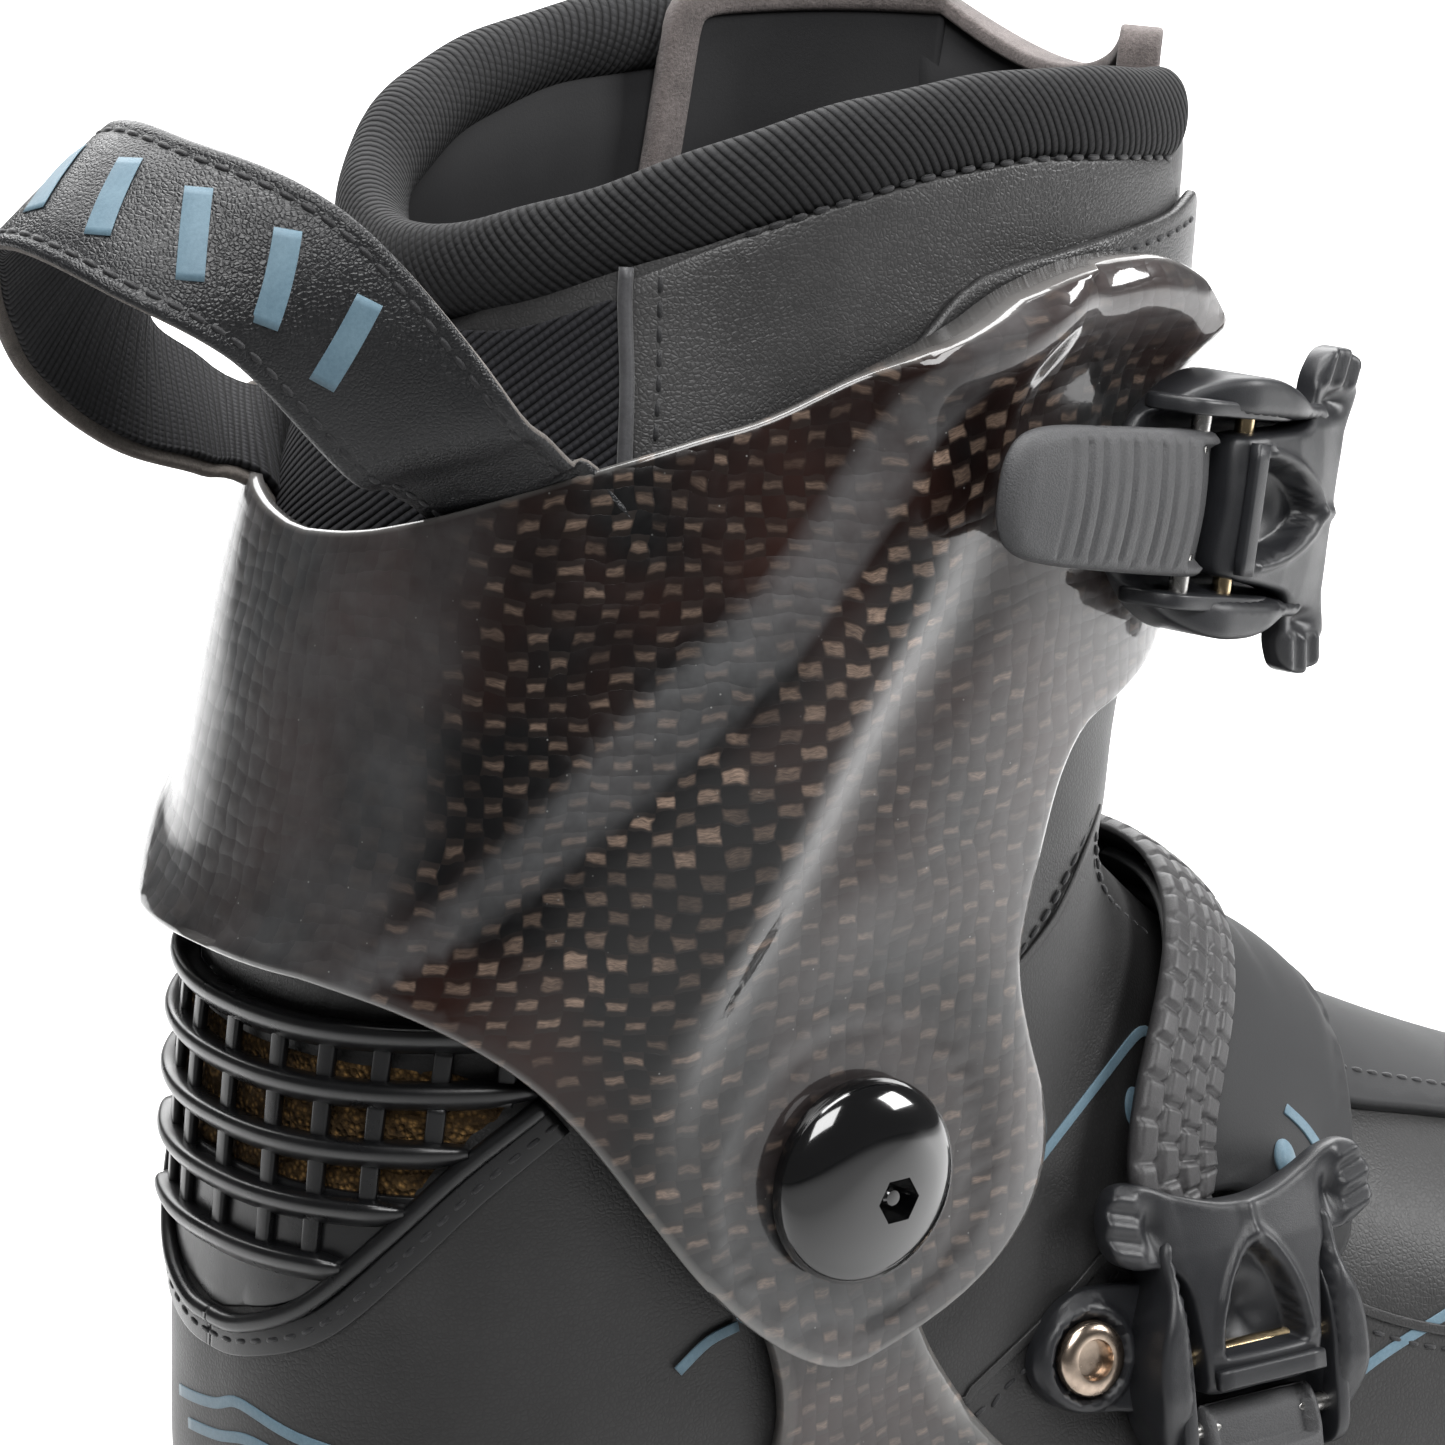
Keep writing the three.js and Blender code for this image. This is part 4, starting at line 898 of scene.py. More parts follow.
def make_upper():
    rows, cols = 150, 132
    v = np.linspace(-1, 1, cols)
    s = np.linspace(0, 1, rows)[:, None]
    half = PI - 0.22
    rim_t = solve_t(v * half, lambda x, y: rim_height(x), high=3)
    t = rim_t + s * (LAST - rim_t)
    gap_y = np.interp(t[:, 0], [0, 6, 10, 13.0, 14.2, 14.6], [9, 11, 11, 11, 3, 0])
    edge = np.zeros(rows)
    for i, y in enumerate(gap_y):
        at = t[i, 0]
        edge[i] = PI if y < 0.01 else front_angle(np.array([at]), np.array([y]))[0]
    psi = v * edge[:, None]
    p = on_surface(t, psi)
    pivot = np.hypot(p[..., 0], p[..., 2] - PIVOT_Z)
    outer = -1.3 * vent_depth(p)
    outer = outer - 0.5 * smoothstep(34, 28, pivot) * (np.abs(p[..., 1]) > 20)
    # soft folds over the ankle, in front
    fold = np.sin((p[..., 2] - 96) / 3.4) * np.exp(-((p[..., 2] - 113) / 15) ** 2)
    outer = outer + 0.35 * fold * smoothstep(20, 40, p[..., 0])
    outer[:3] += np.array([[-1.2], [-0.4], [-0.1]])
    end = np.array([[229.5, 9, 27], [224, 9, 27]])
    ob = sheet("soft_upper", t, psi, outer, -3.4, tip=end)
    finish_piece(ob, SKIN, None, ["upper", "collar", "ankle_flex_panel", "achilles_flex_panel"])


def tongue_top(x, y):
    dip = 237 - np.sqrt(np.maximum(34.0**2 - y**2, 0))
    return np.minimum(dip + 0.5, 211.5)


def make_tongue():
    rows, cols = 90, 41
    v = np.linspace(-1, 1, cols)
    crowded = np.sign(v) * (1 - (1 - np.abs(v)) ** 1.25)
    top = solve_t(front_angle(np.full(cols, 0.5), 26.5 * crowded), tongue_top, -5.0, 0, 3)
    s = np.linspace(0, 1, rows)[:, None]
    t = top + s * (13.6 - top)
    y = 26.5 * crowded[None] * np.ones((rows, 1))
    psi = front_angle(t, y)
    rim = np.minimum(np.minimum(s * rows, (1 - s) * rows), (1 - np.abs(v)) * 20)
    rounding = 1.6 * (1 - smoothstep(0, 3.5, rim))
    quilt = 0.25 * np.sin(t * 9) * smoothstep(3, 6, t)
    ob = sheet("tongue", t, psi, -4.0 - rounding + quilt, -8.3 + rounding)
    finish_piece(ob, LINING, None, ["tongue_shaft", "tongue_flex_panel", "tongue_base"])
    # felt binding round the tongue's free edge
    count = 60
    over = np.stack([top[::-1], crowded[::-1]], -1)
    right = np.stack([np.linspace(top[0], 3.6, count), np.full(count, -1.0)], -1)
    line = np.vstack([over[:-1], right])
    psi = front_angle(line[:, 0], 26.5 * line[:, 1])
    path = lifted(line[:, 0], psi, np.full(len(line), -6.15))
    path = resample(path, 1.6)
    path[1:-1] = (path[:-2] + path[1:-1] + path[2:]) / 3
    at = locate(path, (0, 1, 2), (0.4 * PI, 1.6 * PI), -6.0)
    ob = sweep("tongue_binding", path, normal_at(at[:, 0], at[:, 1]), strip(2.0, 5.0, 0.9, -2.5))
    finish_piece(ob, FELT, None)


def make_tongue_wing():
    """The tongue's flap that wraps round inside the inner wall, and the felt on its free edges."""
    rows, cols = 36, 30
    angles = np.linspace(1.70, 2.62, cols)
    height = lambda x, y: np.interp(x, [18, 24, 30, 44, 60], [207.5, 211.0, 212.0, 212.0, 211.5])
    top = solve_t(angles, height, -7.4, -0.6, 3)
    s = np.linspace(0, 1, rows)[:, None]
    t = top + s * (3.2 - top)
    psi = np.broadcast_to(angles, t.shape)
    ob = sheet("tongue_wing", t, psi, -6.5, -8.0 + 0.15 * np.sin(s * 14))
    finish_piece(ob, LINING, "shaft")
    edge = np.vstack([np.stack([np.linspace(3.0, top[0] + 0.12, 40), np.full(40, angles[0])], -1),
                      np.stack([top + 0.03, angles], -1)])
    path = resample(lifted(edge[:, 0], edge[:, 1], np.full(len(edge), -7.4)), 1.6)
    for _ in range(3):
        path[1:-1] = (path[:-2] + path[1:-1] + path[2:]) / 3
    at = locate(path, (0, 1, 2), (0.4 * PI, 0.9 * PI), -7.4)
    ob = sweep("tongue_wing_binding", path, normal_at(at[:, 0], at[:, 1]), strip(4.6, 3.2, 1.1, -1.6))
    finish_piece(ob, FELT, "shaft")


def make_liner():
    cols, rows = 120, 44
    psi = np.linspace(-1, 1, cols) * 2.25
    top = solve_t(psi, lambda x, y: rim_height(x) + 1.0, -4.5, 0, 3)
    s = np.linspace(0, 1, rows)[:, None]
    t = top + s * (4.8 + 0.8 * smoothstep(1.2, 2.2, np.abs(psi)) - top)
    psi = np.broadcast_to(psi, t.shape)
    ease = 1.0 * (1 - smoothstep(0, 5, s * rows))
    pillow = 0.5 * np.sin(psi * 7) * np.sin(s * 9)
    ob = sheet("shaft_lining", t, psi, -3.7, -5.6 - 0.5 * pillow + ease)
    finish_piece(ob, LINING, "shaft", ["shaft_liner"])


def rim_path(offset, rise, reach, count=150):
    psi = np.linspace(-reach, reach, count)
    t = solve_t(psi, lambda x, y: rim_height(x) + rise, offset, 0, 3)
    path = lifted(t, psi, np.full(count, offset))
    t2 = solve_t(psi, lambda x, y: rim_height(x), 0, 0, 3)
    return path, normal_at(t2, psi)


def make_roll():
    path, normals = rim_path(-2.0, 0.6, 2.42)
    for _ in range(6):
        path[1:-1] = (path[:-2] + 2 * path[1:-1] + path[2:]) / 4
    normals[:, 2] *= 0.2
    normals = unit(normals)
    a = np.linspace(0, 2 * PI, 36, endpoint=False)
    across, out = 5.4 * np.cos(a), 4.3 * np.sin(a)
    out = out + 0.35 * np.cos(2 * a)
    # the seam pinches the roll where it meets the collar
    pinch = np.exp(-((np.degrees(a) - 205) / 22) ** 2)
    profile = np.stack([across * (1 - 0.10 * pinch), out * (1 - 0.10 * pinch)], -1)
    length = distance_along(path)
    ends = smoothstep(0, 7, length) * smoothstep(0, 7, length[-1] - length)
    swell = 1 + 0.035 * np.sin(length / 7.3) + 0.025 * np.sin(length / 2.9 + 1)
    scale = (0.25 + 0.75 * np.sqrt(ends)) * swell
    ob = sweep("collar_padding", path, normals, profile, scale=scale)
    finish_piece(ob, KNIT, "shaft", ["collar_roll"])


def below_rim(x, drop=4.0):
    return float(rim_height(x)) - drop


def make_collar_panels():
    side = [(-20.3, below_rim(-20.3)), (-12, below_rim(-12)), (0, below_rim(0)), (12, below_rim(12)),
            (26, below_rim(26)), (40, below_rim(40)), (51, below_rim(51)), (56, 186), (58, 172), (57, 158),
            (46, 150),
            (20, 150), (-8, 152), (-24.5, 152), (-24, 162), (-22.6, 174), (-21.8, 181), (-20.8, 190)]
    overlay = [(3, 178), (10, 184.2), (15, 188.3), (21, 190.4), (37, 192), (49, 192.6), (58.5, 193),
               (60, 180), (57, 168),
               (40, 160), (20, 165), (8, 172)]
    for label, sign in (("lateral", -1), ("medial", 1)):
        line = place(resample(np.array(side + side[:1], float), 2.0)[:-1], -1)
        line = on_side(line, sign)
        ob = panel(f"side_panel_{label}", [line], 0.95, 0.05, spacing=2.2, edge=0.5, rounds=3)
        finish_piece(ob, LEATHER, "shaft")
        line = place(resample(catmull(overlay, 5, closed=True), 1.6, closed=True), -1)
        line = on_side(line, sign)
        ob = panel(f"shin_panel_{label}", [line], 2.1, 1.0, spacing=2.0, edge=0.6, rounds=3)
        finish_piece(ob, LEATHER, "shaft", [f"shin_overlay_{label}"])
        seam = [(4.5, 177.5), (11, 182.6), (16, 186.2), (22, 188.0), (37, 189.8), (49, 190.4), (57, 190.8)]
        rows = [surface_line(seam, 2.15, sign)]
        seam = [(-17.8, 192.5), (-18.4, 188), (-19.4, 180), (-20.8, 172), (-22.4, 163)]
        rows.append(surface_line(seam, 1.0, sign))
        seam = [(-10, 196.4), (0, 199.2), (12, 201.5), (26, 202), (40, 200.6), (52, 198.6)]
        rows.append(surface_line(seam, 1.0, sign))
        ob = stitches(f"collar_stitches_{label}", rows)
        finish_piece(ob, THREAD, "shaft")
        path, normals = surface_line([(-20.6, 193), (-21.2, 189), (-22, 181), (-23.2, 173), (-25, 162)], 0.9,
                                     sign)
        ob = sweep(f"collar_piping_{label}", path, normals, circle(0.85, 10))
        finish_piece(ob, PIPING, "shaft")
    rear = back_loop([(-40, 183.5), (-30, 185.5), (-21.5, 190), (-22.4, 181), (-23.4, 173), (-25.4, 160),
                      (-27, 150),
                      (-44, 150)], 2.0)
    ob = panel("rear_panel", [rear], 0.7, 0.05, spacing=2.2, edge=0.4, rounds=3)
    finish_piece(ob, TWILL, "shaft")


def make_laces():
    for i in range(5):
        x = 86.5 + 13 * i
        y = np.linspace(-13, 13, 25)
        slope = 2.2 * (1 if i % 2 else -1) * y / 13
        points = np.stack([x + slope, y], -1)
        at = locate(points, (0, 1), OVER_TOP)
        path = lifted(at[:, 0], at[:, 1], -1.7 + 1.0 * (np.abs(y) / 13) ** 6)
        ob = sweep(f"lace_band_{i + 1}", path, normal_at(at[:, 0], at[:, 1]), strip(4.6, 1.5, 0.6, -0.7))
        finish_piece(ob, LACE, "root", [f"lace_{i + 1}"])


COVER_PLAN = symmetric([(74, 0), (78, 22), (100, 25), (130, 22), (158, 14), (164, 0)])


def make_lace_cover():
    line = resample(catmull(COVER_PLAN, 6, closed=True), 2.5, closed=True)
    loop = locate(line, (0, 1), OVER_TOP)
    ob = panel("lace_flap", [loop], 1.8, 0.15, spacing=2.4, edge=0.7, rounds=3)
    finish_piece(ob, PAD_SKIN, "root", ["lace_cover"])
    inner = locate(resample(line * np.array([0.92, 0.84]) + np.array([9.4, 0]), 1.2, closed=True), (0, 1),
                   OVER_TOP)
    row = lifted(inner[:, 0], inner[:, 1], np.full(len(inner), 1.85)), normal_at(inner[:, 0], inner[:, 1])
    finish_piece(stitches("lace_flap_stitches", [row]), THREAD, "root")


def make_upper_details():
    rows, seams = [], []
    for sign in (-1, 1):
        rows.append(surface_line([(44, 121), (40, 117), (35, 112), (31, 109), (27, 106)], 0.1, sign))
        rows.append(surface_line([(46, 118), (52, 108), (62, 100)], 0.1, sign))
        seams.append(surface_line([(46, 121), (41, 115.5), (36, 110.5), (31, 107.3), (26, 104.6)], 0.15,
                                  sign))
        seams.append(surface_line([(20, 54), (34, 62), (50, 70), (66, 62), (84, 52), (104, 46), (130, 42),
                                   (160, 38)],
                                  0.15, sign))
        rows.append(surface_line([(22, 51.5), (36, 59.4), (50, 66.8), (66, 59.4), (84, 49.6), (104, 43.6),
                                  (130, 39.6),
                                  (160, 35.6)], 0.1, sign))
    ob = stitches("upper_stitches", rows)
    finish_piece(ob, THREAD, None)
    pieces = [sweep(f"seam_{k}", path, normals, strip(1.3, 0.5, 0.2, -0.2)) for k,
              (path, normals) in enumerate(seams)]
    finish_piece(join("upper_seams", pieces), SKIN, None)


# blue-grey printed lines, as (x, y, z) on the outer side, mirrored to the inner side
PRINT_LINES = [
    [(27, -36.5, 76), (33, -35, 81), (42, -32, 86.5), (52, -28.5, 91), (56, -27.4, 91), (58, -27, 87.5)],
    [(104, -41, 54), (92, -41, 51), (80, -41, 47), (72, -41, 42), (62, -41, 34)],
    [(-59, 9, 59), (-60, 0, 60.4), (-60, -5.5, 62), (-57, -14, 60), (-50, -22, 58)],
    [(-60, 6, 56), (-60, -1, 56.8), (-60, -7, 58), (-57, -13, 57)],
    [(-19.5, -38, 66), (-15.5, -38, 69), (-11.5, -38, 70.2)],
]
PRINT_DOTS = [(50.3, -31, 83.5, 1.6, 2.5)]


def disc(name, centre, normal, width, height, thickness=0.25):
    """Small oval lying on a surface, taller than it is wide."""
    n = 28
    a = np.linspace(0, 2 * PI, n, endpoint=False)
    up = np.array([0.15, 0.0, 1.0])
    side = unit(np.cross(up, normal))
    up = np.cross(normal, side)
    ring = np.cos(a)[:, None] * side * width + np.sin(a)[:, None] * up * height
    verts = np.vstack([centre + ring * 0.96 + normal * thickness, centre + ring - normal * 0.4])
    faces = [tuple(range(n)), tuple(range(n, 2 * n))[::-1]]
    faces += [(k, k + n, (k + 1) % n + n, (k + 1) % n) for k in range(n)]
    ob = new_object(name, verts, faces)
    clean(ob, merge=0.0001)
    return ob


def make_prints():
    pieces = []
    for index, line in enumerate(PRINT_LINES):
        for sign in (-1, 1):
            if index in (2, 3) and sign > 0:
                continue
            points = [(x, y * -sign, z) for x, y, z in line]
            path, normals = surface_line(points, 0.0, spacing=1.0, three=True)
            pieces.append(sweep(f"print_{index}_{sign}", path, normals, strip(1.35, 0.3, 0.1, -0.12)))
    for x, y, z, width, height in PRINT_DOTS:
        for sign in (-1, 1):
            at = locate([(x, y * -sign, z)], (0, 1, 2), AROUND)
            centre, normal = lifted(at[:, 0], at[:, 1], np.zeros(1))[0], normal_at(at[:, 0], at[:, 1])[0]
            pieces.append(disc(f"print_dot_{sign}", centre, normal, width, height))
    finish_piece(join("printed_lines", pieces), PRINT, "root")


def make_inside():
    plan = catmull([(-50, 0), (-46, 17), (-34, 26), (-10, 29), (40, 31), (90, 36), (140, 41), (175, 40),
                    (198, 32),
                    (213, 17), (216, 6), (210, -8), (196, -22), (172, -32), (140, -37), (90, -35), (40, -32),
                    (-10, -29),
                    (-34, -26), (-46, -17)], 5, closed=True)
    bed = [(-80, 31), (-50, 31), (-18, 28.5), (22, 26.5), (62, 24.5), (136, 23.5), (193, 27), (230, 34)]
    xs, zs = zip(*bed)

    def top(u, v, depth):
        return np.interp(u, xs, zs) + 1.2 * smoothstep(9, 0, depth) - 0.2

    def low(u, v, depth):
        return np.interp(u, xs, zs) - 3.2

    def flat_map(u, v, height):
        return np.stack([u, v, height + 0 * u], -1)

    ob = slab("footbed_cushion", [plan], top, low, flat_map, spacing=3.0, edge=0.8, flat="plan")
    finish_piece(ob, RIBBON, "root", ["footbed"])
    board_plan = plan * np.array([0.93, 0.9]) + np.array([2.0, 0.3])
    ob = slab("lasting_board", [board_plan], lambda u, v, d: np.interp(u, xs, zs) - 4.0,
              lambda u, v, d: np.interp(u, xs, zs) - 6.5, flat_map, spacing=3.5, edge=0.6, flat="plan")
    finish_piece(ob, BOARD, "root", ["insole_board"])
    loop = back_loop([(-57, 64), (-30, 63), (-12, 58), (-10, 46), (-14, 36), (-48, 35)], 2.0, -4.5)
    ob = panel("heel_cup", [loop], -4.0, -5.4, spacing=2.6, edge=0.5)
    finish_piece(ob, BOARD, "root", ["heel_counter"])


# ------------------------------------------------------------------ carbon cuff and chassis
CUFF_TOP = [(-46.8, 162.4), (-45.4, 163.2), (-43.3, 164.7), (-41, 166.1), (-36.2, 168.7), (-28.8, 172.1),
            (-19, 175.4),
            (-12, 177.2), (-2.3, 180.8), (11, 185.4), (18, 188.6), (26, 190.6), (34, 191), (42, 189.6),
            (49, 185), (53, 178)]
CUFF_LOWER = [(54.5, 168), (54, 157), (51, 147.5), (45.5, 141.3), (39, 138.4), (32.5, 136.4), (28.6, 131),
              (26.3, 123),
              (24.6, 115), (24.2, 108), (26, 99.5), (28.6, 92), (29, 85), (26, 78.5), (20, 73.2), (12, 69),
              (4, 66.3),
              (-1, 65.2), (-7, 67.3), (-14, 72.3), (-21, 79.5), (-28, 89), (-34, 98), (-39.5, 104.8),
              (-45, 109.6), (-51, 113.2),
              (-57, 115.4)]
STRIP_RIGHT = [(4, 170), (-9, 154), (-21, 143.5), (-35, 131.5), (-46, 122)]
STRIP_LEFT = [(-2, 173), (-14, 159.5), (-29, 146), (-42, 131.5), (-52, 121)]
CREASE = [(15, 168), (11, 161), (7.5, 155), (1.5, 146.8), (-4, 138.4), (-10, 127.5), (-15, 118.5),
          (-18.6, 110),
          (-20.4, 101), (-20.6, 92), (-20, 84)]
HUMP = [(-1, 177.5), (6, 180.5), (16, 184.4), (26, 186.6), (36, 187.0), (44, 184.5), (51, 177)]
POCKET = (38.0, 171.0)


def cuff_offset(x, y, z, depth):
    strip_left, _ = line_distance(x, z, STRIP_LEFT)
    crease, along = line_distance(x, z, CREASE)
    hump, reach = line_distance(x, z, HUMP)
    front = smoothstep(-2.0, 1.5, crease)  # 1 behind the crease, on the raised side
    strip_right, _ = line_distance(x, z, STRIP_RIGHT)
    slope = np.clip(-strip_left / (np.abs(strip_left) + np.abs(strip_right) + 0.01), 0, 1)
    raised = np.where(strip_right < 0, 1.0, slope)
    lift = 5.0 + 2.4 * raised * front
    lip = np.exp(-((crease - 1.3) / 1.5) ** 2) * 0.9 * smoothstep(0.02, 0.18, along) * smoothstep(1.0, 0.86,
                                                                                                  along)
    dent = np.exp(-((crease + 4.5) / 4.0) ** 2) * 0.7 * smoothstep(0.05, 0.3, along) * smoothstep(1.0, 0.8,
                                                                                                  along)
    lift = lift + lip - dent
    fender = np.exp(-(hump / 5.2) ** 2) * smoothstep(0.0, 0.22, reach) * smoothstep(1.0, 0.93, reach)
    lift = lift + 4.6 * fender
    above = np.where(hump < 0, 1.0, 0.0) * smoothstep(5.0, 12.0, np.abs(hump)) * smoothstep(0.1, 0.3, reach)
    pocket = np.exp(-(((x - POCKET[0]) / 11) ** 2 + ((z - POCKET[1]) / 8) ** 2))
    return lift - 1.2 * pocket - 0.5 * above


def cuff_shape(upper, lower):
    for p, level in ((upper, 42.9), (lower, 40.5)):
        radius = np.hypot(p[:, 0], p[:, 2] - PIVOT_Z)
        side = np.sign(p[:, 1])
        weight = 1 - smoothstep(21, 36, radius)
        p[:, 1] = p[:, 1] * (1 - weight) + side * level * weight
        if level > 42:
            p[:, 1] -= side * 0.45 * np.exp(-((radius - 17.8) / 0.7) ** 2)
            p[:, 1] -= side * 0.25 * smoothstep(17.8, 16.5, radius)
    return upper, lower


# strength of the painted glints on the carbon: strongest on the raised side of the crease higher up, almost
# none at the rear, fewer on the hump's lip
def painted_glint_field(p):
    x, y, z = p[:, 0], p[:, 1], p[:, 2]
    rear = smoothstep(30, 22, np.abs(y)) * smoothstep(0, -10, x)
    crease, _ = line_distance(x, z, CREASE)
    strip_right, _ = line_distance(x, z, STRIP_RIGHT)
    raised = smoothstep(-2, 3, crease) * smoothstep(-2, 3, -strip_right)
    value = 0.62 + 0.83 * raised * smoothstep(104, 122, z)
    value = value * (1 - 0.93 * rear) * (1 - 0.6 * smoothstep(176, 184, z) * (x > 6))
    return np.clip(value, 0.03, 1.6)


# grey veil on the carbon, 0 to 1: along the strip between STRIP_LEFT and STRIP_RIGHT, at the rear and on the
# hump's lip it is a painted sheen standing in for reflected light; in front of the crease it is a milky haze
# on the finish, and it also greys the cuff's bottom edge
def haze_and_sheen_field(p):
    x, y, z = p[:, 0], p[:, 1], p[:, 2]
    crease, _ = line_distance(x, z, CREASE)
    strip_left, _ = line_distance(x, z, STRIP_LEFT)
    strip_right, _ = line_distance(x, z, STRIP_RIGHT)
    band = smoothstep(-1.0, 1.0, -strip_left) * smoothstep(-1.0, 1.0, strip_right)
    front = smoothstep(0.5, -3.0, crease) * smoothstep(182, 168, z)
    low, lip = smoothstep(78, 68, z), smoothstep(179, 185, z) * smoothstep(4, 12, x)
    rear = smoothstep(30, 22, np.abs(y)) * smoothstep(0, -10, x)
    return np.clip(0.95 * band + 0.42 * front + 0.3 * low + 0.7 * rear + 0.6 * lip, 0, 1)


def circle_loop(radius, side, offset, count=40):
    a = np.linspace(0, 2 * PI, count, endpoint=False)
    return place(np.stack([radius * np.cos(a), PIVOT_Z + radius * np.sin(a)], -1), side, offset)


def make_cuff():
    loop = back_loop(catmull(CUFF_TOP + CUFF_LOWER, 5), 1.4, 4.5, gap=0.03)
    holes = [circle_loop(6.3, side, 4.0) for side in (-1, 1)]
    # the cuff's point fields for its material: the strength of the painted glints and the veil of haze and
    # painted sheen
    ob = panel("cuff_shell", [loop, *holes], side_function(cuff_offset), 3.3, spacing=1.35, edge=0.75,
               rounds=5,
               shape=cuff_shape, fields={"painted_glint": painted_glint_field, "haze_and_sheen": haze_and_sheen_field})
    finish_piece(ob, CARBON, "shaft", ["cuff"])


CHASSIS_SIDE = [(-60, 46), (-48, 45), (-38, 44), (-28, 44.2), (-18, 45.4), (-10, 49), (-6.5, 56), (-7, 64),
                (-10.5, 74)]
CHASSIS_FRONT = [(11, 74), (13, 66), (17.5, 58), (23, 50.5), (31, 43), (41, 37.5), (55, 33.5), (72, 30),
                 (92, 28),
                 (110, 26), (120, 22), (128, 16.5)]


def chassis_shape(upper, lower):
    for p, level in ((upper, 39.75), (lower, 37.9)):
        radius = np.hypot(p[:, 0], p[:, 2] - PIVOT_Z)
        weight = 1 - smoothstep(20, 33, radius)
        side = np.sign(p[:, 1])
        p[:, 1] = p[:, 1] * (1 - weight) + side * np.minimum(np.abs(p[:, 1]) + 0.4, level) * weight
        p[:, 1] = np.where(radius < 31, side * np.minimum(np.abs(p[:, 1]), level), p[:, 1])
    return upper, lower


def chassis_fields():
    # the chassis gets painted glints, weaker where |y| < 24, and an even grey veil of haze and painted sheen
    return {"painted_glint": lambda p: np.full(len(p), 0.8) - 0.5 * (np.abs(p[:, 1]) < 24),
            "haze_and_sheen": lambda p: np.full(len(p), 0.35)}


def make_chassis():
    angles = np.radians(np.arange(188, -12, -8))
    disc_points = [(13.8 * math.cos(a), PIVOT_Z + 13.8 * math.sin(a)) for a in angles]
    points = resample(catmull(CHASSIS_SIDE + disc_points + CHASSIS_FRONT, 3), 1.8)
    line = place(points, -1, 1.8)
    line[0, 1] = -0.03
    line = np.vstack([line, [line[-1][0] + 0.1, -0.3], [line[-1][0] + 0.15, -0.03]])
    holes = [circle_loop(6.4, side, 1.5) for side in (-1, 1)]
    ob = panel("chassis_shell", [mirrored(line), *holes], 2.6, 0.45, spacing=2.0, edge=0.7, rounds=3,
               shape=chassis_shape, fields=chassis_fields())
    finish_piece(ob, CARBON, "root", ["chassis"])


def make_pivots():
    for label, sign in (("lateral", -1), ("medial", 1)):
        seat = np.array([0.0, sign * 43.25, PIVOT_Z])
        dome = [(0.001, -7.5), (4.5, -7.5), (4.5, 0), (11.8, 0), (12.15, 0.3), (12.2, 0.9)]
        dome += [(12.2 * math.cos(a) ** 0.8, 1.0 + 4.55 * math.sin(a))
                 for a in np.linspace(0.05, PI / 2 - 0.02, 30)]
        axis = (0, sign, 0)
        ob = lathe(f"pivot_cap_{label}", dome + [(0.001, 5.55)], seat, axis, 96)
        place_at = seat + np.array([1.8, sign * 4.9, -1.5])
        cut(ob, lathe("socket", [(0.001, -2.6), (2.9, -2.6), (2.9, 3), (0.001, 3)], place_at, axis, 6))
        ob = join(f"pivot_cap_{label}", [ob, lathe("stud", [(0.001, -3.2), (1.2, -3.2), (1.2, -0.9),
                                                            (0.9, -0.6), (0.001, -0.5)],
                                                   place_at, axis, 24)])
        clean(ob, merge=0.002)
        finish_piece(ob, CAP_BLACK, "root", [f"pivot_bolt_{label}"], sharp=35)


# ------------------------------------------------------------------ heel vent
RIB_LEVELS = (107.5, 101.0, 94.2, 87.4, 80.6)


def vent_half_angle(z):
    """Angle from the back at which the vent's edge crosses height z."""
    levels = [71.2, 71.7, 76, 85, 93.6, 103]
    x, y = np.interp(z, levels, [-60, -60, -57, -51, -44, -35]), np.interp(z, levels,
                                                                           [0, 6, 15, 23, 28.5, 34])
    t = locate([(x, -y, z)], (0, 1, 2), LATERAL)
    return abs(t[0][1])


